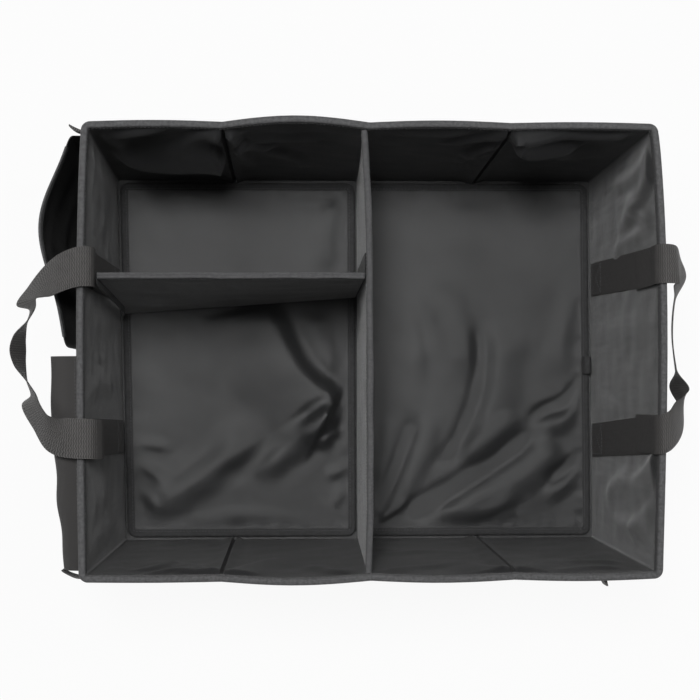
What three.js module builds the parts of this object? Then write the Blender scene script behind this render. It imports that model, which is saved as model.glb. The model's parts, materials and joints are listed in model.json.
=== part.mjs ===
import * as THREE from 'three';

// A folding cloth organizer for a car trunk, in millimetres, with +Z up and its underside at z = 0.
// It is an open box of stiffened cloth walls, with a fixed main divider, a lift-out cross divider,
// two covered base boards, a webbing handle at each end and two cloth pockets outside its left end.

// The open box, measured at the faces of its outer cloth
const RIM_WIDTH = 556;
const RIM_DEPTH = 438;
const HEIGHT = 280;
const WIDTH_TAPER = 2; // how much smaller the foot is than the rim
const DEPTH_TAPER = 11;
const FOOT_WIDTH = RIM_WIDTH - WIDTH_TAPER;
const FOOT_DEPTH = RIM_DEPTH - DEPTH_TAPER;
const FOOT_LEAN = -2.5; // the soft box leans, so its foot lies a little to the left of its rim
const LEFT_FOOT_LEAN = -2; // what the foot of the left end leans beyond that, and how it stands askew
const LEFT_FOOT_SKEW = -6;
const CORNER_RADIUS = 8;

// The layers of a wall, from outside to inside, and the clearance between pieces that touch
const OUTER_CLOTH = 0.9;
const WALL_BOARD = 2.4;
const LINING = 0.6;
const CLEARANCE = 0.3;
const WALL = OUTER_CLOTH + CLEARANCE + WALL_BOARD + CLEARANCE + LINING;

// Where the long walls fold, counted along X at the rim, and how far each stretch bows outwards
const DIVIDER_X = -2;
const CREASE_LEFT = -143.8;
const CREASE_RIGHT = 135.5;
const BACK_BOWS = [1.5, 6.5, 2.2, 1.2];
const FRONT_BOWS = [0.6, 4, 2.5, 1.8];
const LEFT_BOW = 3.5;
const RIGHT_BOW = 7;
const BOARD_MARGIN = 3; // cloth without board, each side of a fold or seam

// The rim binding, a tape folded over the top of the wall
const RIM_TAPE = 0.7;
const RIM_TAPE_DEPTH = 10;
const RIM_ROUND = 1; // how far the tape drops from the middle of the rim to its edges
const WALL_TOP = HEIGHT - RIM_TAPE - RIM_ROUND - CLEARANCE;

// The bottom of the box
const BASE_CLOTH = 1.2;
const WALL_FOOT = BASE_CLOTH + CLEARANCE;
const BASE_LINING_TOP = WALL_FOOT + LINING;
const PAD_SEAT = BASE_LINING_TOP + CLEARANCE;

// Both base pads: a board between two cloth covers, with a tape bound round all four edges
const PAD_BOARD = 2.6;
const PAD_COVER = 0.6;
const PAD_TAPE = 0.6;
const PAD_TAPE_WIDTH = 9;
const PAD_CROWN = 2.2;
const PAD_FOLD = 1.4;
const PAD_CORNER = 10;
const PAD_END_ROOM = 4; // room between a pad and the front and back walls
const PAD_SIDE_ROOM = 3;
const PAD_HINGE_ROOM = 1.9; // room between a pad and the main divider
const PAD_UNDER_COVER = PAD_SEAT + PAD_TAPE + CLEARANCE;
const PAD_BOARD_FOOT = PAD_UNDER_COVER + PAD_COVER + CLEARANCE;
const PAD_TOP_COVER = PAD_BOARD_FOOT + PAD_BOARD + CLEARANCE;
const PAD_TAPE_FOOT = PAD_TOP_COVER + PAD_COVER + CLEARANCE;
const PAD_TOP = PAD_TAPE_FOOT + PAD_TAPE;
const PULL_TAB_WIDTH = 20;
const PULL_TAB_RISE = 9;
const PULL_TAB_Y = -8;

// The dividers are a board between two cloth faces, with a tape folded over the top edge
const DIVIDER_BOARD = 2.4;
const DIVIDER_CLOTH = 0.6;
const DIVIDER_TAPE = 0.6;
const DIVIDER_TAPE_DEPTH = 9;
const DIVIDER_HALF = DIVIDER_BOARD / 2 + CLEARANCE + DIVIDER_CLOTH;
const MAIN_TOP = HEIGHT - 5;
const CROSS_TOP = HEIGHT - 8;
const CROSS_LEFT_Y = { foot: 54, top: 75 };
const CROSS_RIGHT_Y = { foot: 73, top: 79 };
const CROSS_FOOT_ROOM = 0.6;
const CROSS_SHOULDER = 70; // the height under which the left end reaches out to the wall
const FLAP_CLOTH = 0.8;
const LEFT_FLAP_LENGTH = 7;
const RIGHT_FLAP_LENGTH = 22;
const STRAP_TO_CROSS = 1.5; // what the left handle leaves free beside the cross divider

// The handle webbing and where it is sewn down
const WEBBING_WIDTH = 38;
const WEBBING = 1.5;
const ANCHOR_FOOT = PAD_TOP + 6;
const ANCHOR_TOP = HEIGHT - 18;
const LEFT_ARCH = 14; // how far in from the outer cloth the left handle arches at its back end

// The two pockets outside the left end
const POCKET_CLOTH = 0.8;
const POCKET_FOOT = 70;
const OPEN_POCKET_TOP = HEIGHT - 25;
const OPEN_POCKET_ENDS = [3, 211];
const OPEN_POCKET_GUSSET = 20;
const OPEN_POCKET_BULGE = 20.5;
const OPEN_POCKET_TAPE_DEPTH = 8;
const FLAP_POCKET_TOP = HEIGHT - 38;
const FLAP_POCKET_ENDS = [-207, -8];
const FLAP_REACH = { front: 18, back: 28 };
const FLAP_SEAM_TOP = HEIGHT - 12;
const FLAP_HANG = 62;
const HOOK_STRIP = 1;
const HOOK_STRIP_WIDTH = 20;
const HOOK_STRIP_LENGTH = 120;

const { lerp, clamp, smoothstep } = THREE.MathUtils;
const organizer = new THREE.Group();

function finish(color, roughness) {
  return new THREE.MeshStandardMaterial({ color, roughness, metalness: 0 });
}

const outerCloth = () => finish(0x2b2b2d, 0.85);
const liningCloth = () => finish(0x3a3b3e, 0.5);
const bindingTape = () => finish(0x5b5b5d, 0.8);
const webbing = () => finish(0x454241, 0.8);
const flapCloth = () => finish(0x4c4a4a, 0.85);
const stiffBoard = () => finish(0x8a8378, 0.95);
const hookTape = () => finish(0x18181a, 0.95);

function add(name, geometry, material) {
  const mesh = new THREE.Mesh(geometry, material);
  mesh.name = name;
  organizer.add(mesh);
}

// Evenly spaced values from one number to another, both ends included
function spread(from, to, steps) {
  return Array.from({ length: steps + 1 }, (_, i) => lerp(from, to, i / steps));
}

// A closed solid with its faces turned outwards
function closedSolid(points, triangles) {
  const signedVolume = triangles.reduce((sum, [a, b, c]) => {
    const cross = points[b].clone().cross(points[c]);
    return sum + points[a].dot(cross) / 6;
  }, 0);
  const turned = signedVolume < 0 ? triangles.map(([a, b, c]) => [a, c, b]) : triangles;
  const geometry = new THREE.BufferGeometry();
  geometry.setAttribute('position', new THREE.Float32BufferAttribute(points.flatMap((p) => p.toArray()), 3));
  geometry.setIndex(turned.flat());
  geometry.computeVertexNormals();
  return geometry;
}

// A sheet with thickness: pointAt gives the place of each column and row on face 0 and on face 1.
// A wrapped sheet has no first and last column, because it runs round and meets itself.
function sheet(columns, rows, pointAt, wrapped = false) {
  const points = [];
  for (const face of [0, 1]) {
    for (const u of columns) {
      for (const v of rows) {
        points.push(pointAt(u, v, face));
      }
    }
  }
  const index = (face, i, j) => (face * columns.length + (i % columns.length)) * rows.length + j;
  const triangles = [];
  const quad = (a, b, c, d) => triangles.push([a, b, c], [a, c, d]);
  const lastColumn = columns.length - 1;
  const lastRow = rows.length - 1;
  const spans = wrapped ? columns.length : lastColumn;
  for (let i = 0; i < spans; i += 1) {
    for (let j = 0; j < lastRow; j += 1) {
      quad(index(0, i, j), index(0, i, j + 1), index(0, i + 1, j + 1), index(0, i + 1, j));
      quad(index(1, i, j), index(1, i + 1, j), index(1, i + 1, j + 1), index(1, i, j + 1));
    }
    quad(index(0, i, 0), index(0, i + 1, 0), index(1, i + 1, 0), index(1, i, 0));
    quad(index(0, i, lastRow), index(1, i, lastRow), index(1, i + 1, lastRow), index(0, i + 1, lastRow));
  }
  if (!wrapped) {
    for (let j = 0; j < lastRow; j += 1) {
      const end = lastColumn;
      quad(index(0, 0, j), index(1, 0, j), index(1, 0, j + 1), index(0, 0, j + 1));
      quad(index(0, end, j), index(0, end, j + 1), index(1, end, j + 1), index(1, end, j));
    }
  }
  return closedSolid(points, triangles);
}

// Each wall runs along one direction in plan and faces out along another, clockwise from above
const WALLS = {
  back: { along: [1, 0], out: [0, 1] },
  right: { along: [0, -1], out: [1, 0] },
  front: { along: [-1, 0], out: [0, -1] },
  left: { along: [0, 1], out: [-1, 0] },
};

function halfSizes(wall, z) {
  const share = z / HEIGHT;
  const halfX = lerp(FOOT_WIDTH, RIM_WIDTH, share) / 2;
  const halfY = lerp(FOOT_DEPTH, RIM_DEPTH, share) / 2;
  return WALLS[wall].out[0] === 0 ? { along: halfX, out: halfY } : { along: halfY, out: halfX };
}

// The folds of a long wall, as places along X at the rim
const cornerPlace = RIM_WIDTH / 2 - CORNER_RADIUS;
const foldPlaces = [-cornerPlace, CREASE_LEFT, DIVIDER_X, CREASE_RIGHT, cornerPlace];

function longWallBow(bows, x) {
  const stretch = foldPlaces.findIndex((fold, i) => i > 0 && x <= fold) - 1;
  const k = clamp(stretch, 0, bows.length - 1);
  const across = clamp((x - foldPlaces[k]) / (foldPlaces[k + 1] - foldPlaces[k]), 0, 1);
  return bows[k] * Math.sin(Math.PI * across);
}

// The short walls bow most a little behind their middle
function shortWallBow(bow, y) {
  const across = clamp(0.5 - y / (RIM_DEPTH - 2 * CORNER_RADIUS), 0, 1);
  return bow * Math.sin(Math.PI * across ** 0.75);
}

function rimBow(wall, place) {
  if (wall === 'back') {
    return longWallBow(BACK_BOWS, place);
  }
  if (wall === 'front') {
    return longWallBow(FRONT_BOWS, -place);
  }
  return wall === 'left' ? shortWallBow(LEFT_BOW, place) : shortWallBow(RIGHT_BOW, -place);
}

// How far the foot lies from its place under the rim. The left end also stands askew, from its crease on.
function footShift(x, y) {
  const share = clamp((CREASE_LEFT - x) / (CREASE_LEFT + FOOT_WIDTH / 2), 0, 1);
  return FOOT_LEAN + share * (LEFT_FOOT_LEAN + LEFT_FOOT_SKEW * (y / (FOOT_DEPTH / 2)));
}

// A point of a wall, q from -1 to 1 along its straight part and on to -2 and 2 at the middles of its
// rounded corners, at height z and at a depth counted inwards from the face of the outer cloth
function wallPoint(wall, q, z, depth) {
  const half = halfSizes(wall, z);
  const straight = clamp(q, -1, 1);
  const turn = (q - straight) * (Math.PI / 4);
  const bow = Math.abs(q) < 1 ? rimBow(wall, straight * (halfSizes(wall, HEIGHT).along - CORNER_RADIUS)) : 0;
  const along = straight * (half.along - CORNER_RADIUS) + Math.sin(turn) * (CORNER_RADIUS - depth);
  const out = half.out - CORNER_RADIUS + Math.cos(turn) * (CORNER_RADIUS - depth) + bow * (z / HEIGHT);
  const { along: a, out: o } = WALLS[wall];
  const x = a[0] * along + o[0] * out;
  const y = a[1] * along + o[1] * out;
  return new THREE.Vector3(x + footShift(x, y) * (1 - z / HEIGHT), y, z);
}

// The value of q at a distance along the wall from its middle
function wallPlace(wall, along, z = HEIGHT) {
  return along / (halfSizes(wall, z).along - CORNER_RADIUS);
}

const cornerTurn = spread(1, 2, 3).slice(1);

// The columns of a wall, with one at each fold
function wallColumns(wall) {
  let straight = spread(-1, 1, 12);
  if (wall === 'back' || wall === 'front') {
    const sign = wall === 'back' ? 1 : -1;
    const folds = foldPlaces.map((x) => sign * wallPlace(wall, x)).sort((a, b) => a - b);
    straight = folds.slice(1).flatMap((fold, i) => spread(folds[i], fold, 6).slice(i === 0 ? 0 : 1));
  }
  return [...cornerTurn.map((q) => -q).reverse(), ...straight, ...cornerTurn];
}

// Walls: outer cloth, boards and lining
const wallRows = spread(WALL_FOOT, WALL_TOP, 3);
const seam = CLEARANCE / CORNER_RADIUS; // the panels of cloth stop short of each other at the corners

function clothPanel(name, wall, depth, thickness, material) {
  const columns = wallColumns(wall);
  columns[0] += seam;
  columns[columns.length - 1] -= seam;
  const pointAt = (q, z, face) => wallPoint(wall, q, z, depth + face * thickness);
  add(name, sheet(columns, wallRows, pointAt), material);
}

const boardDepth = OUTER_CLOTH + CLEARANCE;
const liningDepth = boardDepth + WALL_BOARD + CLEARANCE;

// The values of a list on each side of a number
function around(values, value) {
  const next = clamp(values.findIndex((v) => v >= value), 1, values.length - 1);
  return [values[next - 1], values[next]];
}

// A point of the wall's flat facets, between its columns and rows
function facetPoint(wall, q, z, depth) {
  const [q0, q1] = around(wallColumns(wall), q);
  const [z0, z1] = around(wallRows, z);
  const across = (q - q0) / (q1 - q0);
  const up = (z - z0) / (z1 - z0);
  const low = wallPoint(wall, q0, z0, depth).lerp(wallPoint(wall, q1, z0, depth), across);
  const high = wallPoint(wall, q0, z1, depth).lerp(wallPoint(wall, q1, z1, depth), across);
  return low.lerp(high, up);
}

// A board bends with the cloth on each side of it and stops short of the folds and seams
function wallBoard(name, wall, from, to) {
  const inside = (values, [low, high]) => [low, ...values.filter((v) => v > low && v < high), high];
  const ends = [wallPlace(wall, from + BOARD_MARGIN), wallPlace(wall, to - BOARD_MARGIN)];
  const columns = inside(wallColumns(wall), ends);
  const rows = inside(wallRows, [WALL_FOOT + BOARD_MARGIN, WALL_TOP - BOARD_MARGIN]);
  const pointAt = (q, z, face) => facetPoint(wall, q, z, boardDepth + face * WALL_BOARD);
  add(name, sheet(columns, rows, pointAt), stiffBoard());
}

for (const wall of Object.keys(WALLS)) {
  clothPanel(`outer_cloth_${wall}`, wall, 0, OUTER_CLOTH, outerCloth());
  clothPanel(`lining_${wall}`, wall, liningDepth, LINING, liningCloth());
}

const boardNames = ['left_end', 'left_middle', 'right_middle', 'right_end'];
boardNames.forEach((place, i) => {
  wallBoard(`back_board_${place}`, 'back', foldPlaces[i], foldPlaces[i + 1]);
  wallBoard(`front_board_${place}`, 'front', -foldPlaces[i + 1], -foldPlaces[i]);
});

for (const wall of ['left', 'right']) {
  const reach = RIM_DEPTH / 2 - CORNER_RADIUS;
  wallBoard(`${wall}_board`, wall, -reach, reach);
}

// The section of a tape folded over an edge, as [depth, height] from one foot over the top to the
// other foot. It laps the thickness from near to far, clear of it by the clearance.
function foldedTape(near, far, foot, top, round, tape) {
  const loop = (gap) => {
    const level = top - tape + gap;
    return [
      [near - CLEARANCE - gap, foot],
      [near - CLEARANCE - gap, level - round],
      [(near + far) / 2, level],
      [far + CLEARANCE + gap, level - round],
      [far + CLEARANCE + gap, foot],
    ];
  };
  return [loop(0), loop(tape)];
}

// The rim binding runs once round the top: down outside, over the wall and down inside
function rimBinding() {
  const columns = Object.keys(WALLS).flatMap((wall) => wallColumns(wall).slice(1).map((q) => ({ wall, q })));
  const section = foldedTape(0, WALL, HEIGHT - RIM_TAPE_DEPTH, HEIGHT, RIM_ROUND, RIM_TAPE);
  return sheet(columns, [0, 1, 2, 3, 4], ({ wall, q }, row, face) => {
    const [depth, z] = section[face][row];
    return wallPoint(wall, q, z, depth);
  }, true);
}

add('rim_binding', rimBinding(), bindingTape());

// The bottom of the box: an outer cloth under the walls and a lining between them
function footPlate(depth, z, thickness) {
  const turns = [-2, -5 / 3, -4 / 3, -1, 1, 4 / 3, 5 / 3];
  const outline = Object.keys(WALLS).flatMap((wall) => turns.map((q) => wallPoint(wall, q, 0, depth)));
  const shape = new THREE.Shape(outline.map((p) => new THREE.Vector2(p.x, p.y)));
  const geometry = new THREE.ExtrudeGeometry(shape, { depth: thickness, bevelEnabled: false });
  return geometry.translate(0, 0, z);
}

add('outer_cloth_bottom', footPlate(0, 0, BASE_CLOTH), outerCloth());
add('lining_bottom', footPlate(WALL + CLEARANCE, WALL_FOOT, LINING), liningCloth());

// A point of the lining, at a distance along its wall and a depth inside the compartment
function insideWall(wall, along, z, room) {
  return wallPoint(wall, wallPlace(wall, along, z), z, WALL + room);
}

// Base pads. The outer edge of each follows its wall, so an edge has a slope: X gained per unit of Y.
const besideLeft = (y) => insideWall('left', y, PAD_SEAT, PAD_SIDE_ROOM).x;
const slopeReach = FOOT_DEPTH / 4;
const leftPad = {
  x: [besideLeft(0), DIVIDER_X - DIVIDER_HALF - PAD_HINGE_ROOM],
  slope: [(besideLeft(slopeReach) - besideLeft(-slopeReach)) / (2 * slopeReach), 0],
  foldSlope: -1.1,
  foldPitch: 62,
};
const rightPad = {
  x: [DIVIDER_X + DIVIDER_HALF + PAD_HINGE_ROOM, insideWall('right', 0, PAD_SEAT, PAD_SIDE_ROOM).x],
  slope: [0, 0],
  foldSlope: -0.7,
  foldPitch: 74,
};
const padHalfDepth = insideWall('back', 0, PAD_SEAT, PAD_END_ROOM).y;
const padEdge = (pad, end, y) => pad.x[end] + pad.slope[end] * y;

function padOutline(pad, inset, steps) {
  const radius = PAD_CORNER - inset;
  const back = padHalfDepth - PAD_CORNER;
  const corners = [
    { x: padEdge(pad, 1, back) - PAD_CORNER, y: back, from: 0 },
    { x: padEdge(pad, 0, back) + PAD_CORNER, y: back, from: 1 },
    { x: padEdge(pad, 0, -back) + PAD_CORNER, y: -back, from: 2 },
    { x: padEdge(pad, 1, -back) - PAD_CORNER, y: -back, from: 3 },
  ];
  return corners.flatMap(({ x, y, from }) => spread(from, from + 1, steps).map((quarter) => {
    const angle = quarter * (Math.PI / 2);
    return new THREE.Vector2(x + radius * Math.cos(angle), y + radius * Math.sin(angle));
  }));
}

function padPlate(pad, inset, z, thickness) {
  const shape = new THREE.Shape(padOutline(pad, inset, 3));
  return new THREE.ExtrudeGeometry(shape, { depth: thickness, bevelEnabled: false }).translate(0, 0, z);
}

// The loose top cover swells to a low crown and lies in slanting folds
function padSwell(pad, x, y) {
  const toSide = Math.min(x - padEdge(pad, 0, y), padEdge(pad, 1, y) - x);
  const toEdge = Math.min(toSide, padHalfDepth - Math.abs(y));
  const inner = smoothstep(toEdge, PAD_TAPE_WIDTH, PAD_TAPE_WIDTH * 5);
  const across = (y - pad.foldSlope * x) / pad.foldPitch;
  return inner * (PAD_CROWN + (PAD_FOLD / 2) * Math.sin(2 * Math.PI * across));
}

function padTopCover(pad) {
  const inset = 2 * PAD_TAPE;
  const radius = PAD_CORNER - inset;
  const length = pad.x[1] - pad.x[0] - 2 * inset;
  const ends = [0, 0.1, 0.45, 1].map((share) => share * radius);
  const middle = spread(radius, length - radius, 14).slice(1, -1);
  const columns = [...ends, ...middle, ...ends.map((d) => length - d).reverse()];
  const bound = PAD_TAPE_WIDTH / padHalfDepth;
  return sheet(columns, [-1, ...spread(bound - 1, 1 - bound, 10), 1], (along, v, face) => {
    const toCorner = Math.max(0, radius - along, radius - (length - along));
    const reach = padHalfDepth - inset - radius + Math.sqrt(radius ** 2 - toCorner ** 2);
    const y = v * reach;
    const x = lerp(padEdge(pad, 0, y) + inset, padEdge(pad, 1, y) - inset, along / length);
    return new THREE.Vector3(x, y, PAD_TOP_COVER + (face ? PAD_COVER + padSwell(pad, x, y) : 0));
  });
}

function padBinding(pad) {
  const lap = PAD_TAPE_WIDTH;
  const section = [
    { inset: lap, low: [lap, PAD_SEAT + PAD_TAPE], high: [lap, PAD_SEAT] },
    { inset: 0, low: [PAD_TAPE, PAD_SEAT + PAD_TAPE], high: [0, PAD_SEAT] },
    { inset: 0, low: [PAD_TAPE, PAD_TAPE_FOOT], high: [0, PAD_TOP] },
    { inset: lap, low: [lap, PAD_TAPE_FOOT], high: [lap, PAD_TOP] },
  ];
  const steps = 3;
  const columns = padOutline(pad, 0, steps).map((_, i) => i);
  return sheet(columns, [0, 1, 2, 3], (i, row, face) => {
    const [inset, z] = face ? section[row].high : section[row].low;
    const p = padOutline(pad, inset, steps)[i];
    return new THREE.Vector3(p.x, p.y, z);
  }, true);
}

for (const [side, pad] of [['left', leftPad], ['right', rightPad]]) {
  add(`${side}_pad_underside`, padPlate(pad, 2 * PAD_TAPE, PAD_UNDER_COVER, PAD_COVER), liningCloth());
  add(`${side}_pad_board`, padPlate(pad, 3 * PAD_TAPE + 1, PAD_BOARD_FOOT, PAD_BOARD), stiffBoard());
  add(`${side}_pad_cover`, padTopCover(pad), liningCloth());
  add(`${side}_pad_binding`, padBinding(pad), bindingTape());
}

// The pull tab, a ribbon folded into a loop that stands on the free edge of the right pad
function pullTab() {
  const foot = PAD_TOP + CLEARANCE;
  const loop = new THREE.CatmullRomCurve3([
    new THREE.Vector3(rightPad.x[1] - 9, 0, foot + 0.6),
    new THREE.Vector3(rightPad.x[1] - 5, 0, foot + 0.8),
    new THREE.Vector3(rightPad.x[1] - 3, 0, foot + 0.55 * PULL_TAB_RISE),
    new THREE.Vector3(rightPad.x[1] - 1, 0, foot + PULL_TAB_RISE),
    new THREE.Vector3(rightPad.x[1] + 0.6, 0, foot + 0.5 * PULL_TAB_RISE),
    new THREE.Vector3(rightPad.x[1] + 0.4, 0, foot),
  ]);
  return sheet(spread(0, 1, 12), [-1, 1], (t, side, face) => {
    const p = loop.getPoint(t);
    const tangent = loop.getTangent(t);
    const shift = (face - 0.5) * PAD_COVER;
    const y = PULL_TAB_Y + side * (PULL_TAB_WIDTH / 2);
    return new THREE.Vector3(p.x - tangent.z * shift, y, p.z + tangent.x * shift);
  });
}

add('pull_tab', pullTab(), webbing());

// Main divider: it stands on the bottom lining and reaches from the front wall to the back wall
const mainEnd = (z) => insideWall('back', 0, z, 2 * CLEARANCE + RIM_TAPE).y;

function mainLayer(from, thickness, foot, top, inset) {
  return sheet([-1, 1], [foot, top], (end, z, face) => {
    return new THREE.Vector3(DIVIDER_X + from + face * thickness, end * (mainEnd(z) - inset), z);
  });
}

const mainFoot = PAD_SEAT;
const mainClothTop = MAIN_TOP - DIVIDER_TAPE - CLEARANCE;
const boardHalf = DIVIDER_BOARD / 2;
const clothFrom = boardHalf + CLEARANCE;
const mainFace = (from) => mainLayer(from, DIVIDER_CLOTH, mainFoot, mainClothTop, 0);
const mainBoard = mainLayer(-boardHalf, DIVIDER_BOARD, mainFoot + 1, mainClothTop, BOARD_MARGIN);
add('main_divider_left_face', mainFace(-DIVIDER_HALF), liningCloth());
add('main_divider_right_face', mainFace(clothFrom), liningCloth());
add('main_divider_board', mainBoard, stiffBoard());

// The top tape of a divider: placeAt gives a point at a share of the length, a distance across the
// thickness and a height
function dividerTape(top, placeAt, steps) {
  const section = foldedTape(-DIVIDER_HALF, DIVIDER_HALF, top - DIVIDER_TAPE_DEPTH, top, 0, DIVIDER_TAPE);
  return sheet(spread(0, 1, steps), [0, 1, 2, 3, 4], (u, row, face) => {
    const [across, z] = section[face][row];
    return placeAt(u, across, z);
  });
}

add('main_divider_binding', dividerTape(MAIN_TOP, (u, across, z) => {
  return new THREE.Vector3(DIVIDER_X + across, lerp(-1, 1, u) * mainEnd(z), z);
}, 1), bindingTape());

// Cross divider: it stands on the left pad, a little twisted, and lifts straight out
const crossFoot = PAD_TOP_COVER + PAD_COVER + PAD_CROWN + PAD_FOLD / 2 + CROSS_FOOT_ROOM;
const archX = wallPoint('left', wallPlace('left', CROSS_LEFT_Y.top), HEIGHT, LEFT_ARCH).x;
const flapRoom = FLAP_CLOTH + 2 * CLEARANCE;
const besideLining = (z, room) => insideWall('left', CROSS_LEFT_Y.foot, z, room).x;
const clearOfRim = besideLining(HEIGHT, flapRoom + CLEARANCE + RIM_TAPE);
const crossFootX = Math.max(besideLining(crossFoot, flapRoom), clearOfRim) + CLEARANCE;
const clearOfAnchor = besideLining(crossFoot, CLEARANCE + WEBBING + CLEARANCE);
const crossLeftFlap = Math.max(archX + WEBBING / 2 + STRAP_TO_CROSS, clearOfAnchor);
const mainTapeX = DIVIDER_X - DIVIDER_HALF - CLEARANCE - DIVIDER_TAPE;
const crossX = [crossLeftFlap + FLAP_CLOTH + CLEARANCE, mainTapeX - DIVIDER_TAPE - FLAP_CLOTH - CLEARANCE];

function crossPoint(u, across, z) {
  const share = (z - crossFoot) / (CROSS_TOP - crossFoot);
  const left = lerp(CROSS_LEFT_Y.foot, CROSS_LEFT_Y.top, share);
  const right = lerp(CROSS_RIGHT_Y.foot, CROSS_RIGHT_Y.top, share);
  const toShoulder = clamp((z - crossFoot) / (CROSS_SHOULDER - crossFoot), 0, 1);
  const end = lerp(crossFootX, crossX[0], toShoulder);
  return new THREE.Vector3(lerp(end, crossX[1], u), lerp(left, right, u) + across, z);
}

const crossRows = (foot, top) => [foot, CROSS_SHOULDER, (CROSS_SHOULDER + top) / 2, top];

function crossLayer(from, thickness, foot, top, margin) {
  return sheet(spread(margin, 1 - margin, 4), crossRows(foot, top), (u, z, face) => {
    return crossPoint(u, from + face * thickness, z);
  });
}

const crossClothTop = CROSS_TOP - DIVIDER_TAPE - CLEARANCE;
const crossBoardMargin = BOARD_MARGIN / (crossX[1] - crossX[0]);
const crossFace = (from) => crossLayer(from, DIVIDER_CLOTH, crossFoot, crossClothTop, 0);
const crossBoard = crossLayer(-boardHalf, DIVIDER_BOARD, crossFoot + 1, crossClothTop, crossBoardMargin);
add('cross_divider_front_face', crossFace(-DIVIDER_HALF), liningCloth());
add('cross_divider_back_face', crossFace(clothFrom), liningCloth());
add('cross_divider_board', crossBoard, stiffBoard());
add('cross_divider_binding', dividerTape(CROSS_TOP, crossPoint, 4), bindingTape());

// The end flaps of the cross divider carry hook tape. The left one turns forward, and the right one
// turns back along the main divider. Each stands beside its end of the divider, at a distance to the side.
function endFlap(u, side, ys) {
  return sheet(ys, crossRows(crossFoot, CROSS_TOP - 2), (y, z, face) => {
    return crossPoint(u, y, z).add(new THREE.Vector3(side * (CLEARANCE + face * FLAP_CLOTH), 0, 0));
  });
}

const leftFlapPlan = spread(DIVIDER_HALF, -DIVIDER_HALF - LEFT_FLAP_LENGTH, 2);
const rightFlapPlan = spread(-DIVIDER_HALF, RIGHT_FLAP_LENGTH, 2);
add('cross_divider_left_flap', endFlap(0, -1, leftFlapPlan), hookTape());
add('cross_divider_right_flap', endFlap(1, 1, rightFlapPlan), hookTape());

// Handle anchors: webbing sewn flat to the lining, from above the base up to the rim. Each entry says
// where the middle of the webbing lies along Y at its foot and at its top.
const ANCHORS = {
  left_back: { wall: 'left', foot: 84, top: 81 },
  left_front: { wall: 'left', foot: -89, top: -84 },
  right_back: { wall: 'right', foot: 91, top: 83 },
  right_front: { wall: 'right', foot: -95, top: -82 },
};

function anchorStrap({ wall, foot, top }) {
  const sign = wall === 'left' ? 1 : -1;
  return sheet(spread(ANCHOR_FOOT, ANCHOR_TOP, 5), [-0.5, 0, 0.5], (z, across, face) => {
    const middle = lerp(foot, top, (z - ANCHOR_FOOT) / (ANCHOR_TOP - ANCHOR_FOOT));
    return insideWall(wall, sign * (middle + across * WEBBING_WIDTH), z, CLEARANCE + face * WEBBING);
  });
}

for (const [place, anchor] of Object.entries(ANCHORS)) {
  add(`handle_anchor_${place}`, anchorStrap(anchor), webbing());
}

// Handle loops. A loop is one length of webbing that hangs outside the rim and turns on its edge on
// the way. Each stop gives the middle of the webbing as its distance out from the wall's outer cloth,
// its place along Y and its height above the rim, then the direction across the webbing as the same three.
const onAnchor = -(WALL + 3 * CLEARANCE + 1.5 * WEBBING);
const LEFT_LOOP = [
  { at: [onAnchor, 81, -72], across: [0, 1, 0] },
  { at: [onAnchor - 0.6, 81, -50], across: [0, 1, 0] },
  { at: [-LEFT_ARCH, 80, -16], across: [0, 1, 0] },
  { at: [1.5 - LEFT_ARCH, 80, 1], across: [0, 1, 0] },
  { at: [-1, 79, 6.5], across: [0, 1, 0] },
  { at: [14, 74, 5], across: [0.08, 0.97, -0.2] },
  { at: [27, 67, -2], across: [0.27, 0.81, -0.52] },
  { at: [40, 56, -6], across: [0.55, 0.3, -0.78] },
  { at: [50, 47, -11], across: [0.64, -0.1, -0.76] },
  { at: [46, 41, -20], across: [0.33, 0, -0.94] },
  { at: [51.4, 28, -21], across: [0.21, 0, -0.98] },
  { at: [58, 15, -21], across: [-0.08, 0, -1] },
  { at: [60, 1, -21], across: [-0.19, 0, -0.98] },
  { at: [58, -14, -21], across: [-0.08, 0, -1] },
  { at: [51, -30, -21], across: [0.21, 0, -0.98] },
  { at: [45, -43, -20], across: [0.33, 0, -0.94] },
  { at: [46.5, -50, -11], across: [0.57, -0.12, -0.81] },
  { at: [36, -68, -6], across: [0.48, -0.36, -0.8] },
  { at: [23, -80, 0], across: [0.35, -0.81, -0.47] },
  { at: [6, -83, 6], across: [0.03, -1, -0.06] },
  { at: [1 - LEFT_ARCH, -84, 4], across: [0, -1, 0] },
  { at: [-LEFT_ARCH - 6, -85, -8], across: [0, -1, 0] },
  { at: [-LEFT_ARCH - 5, -86, -34], across: [0, -1, 0] },
  { at: [onAnchor - 2, -86, -72], across: [0, -1, 0] },
  { at: [onAnchor, -87, -104], across: [0, -1, 0] },
];
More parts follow.
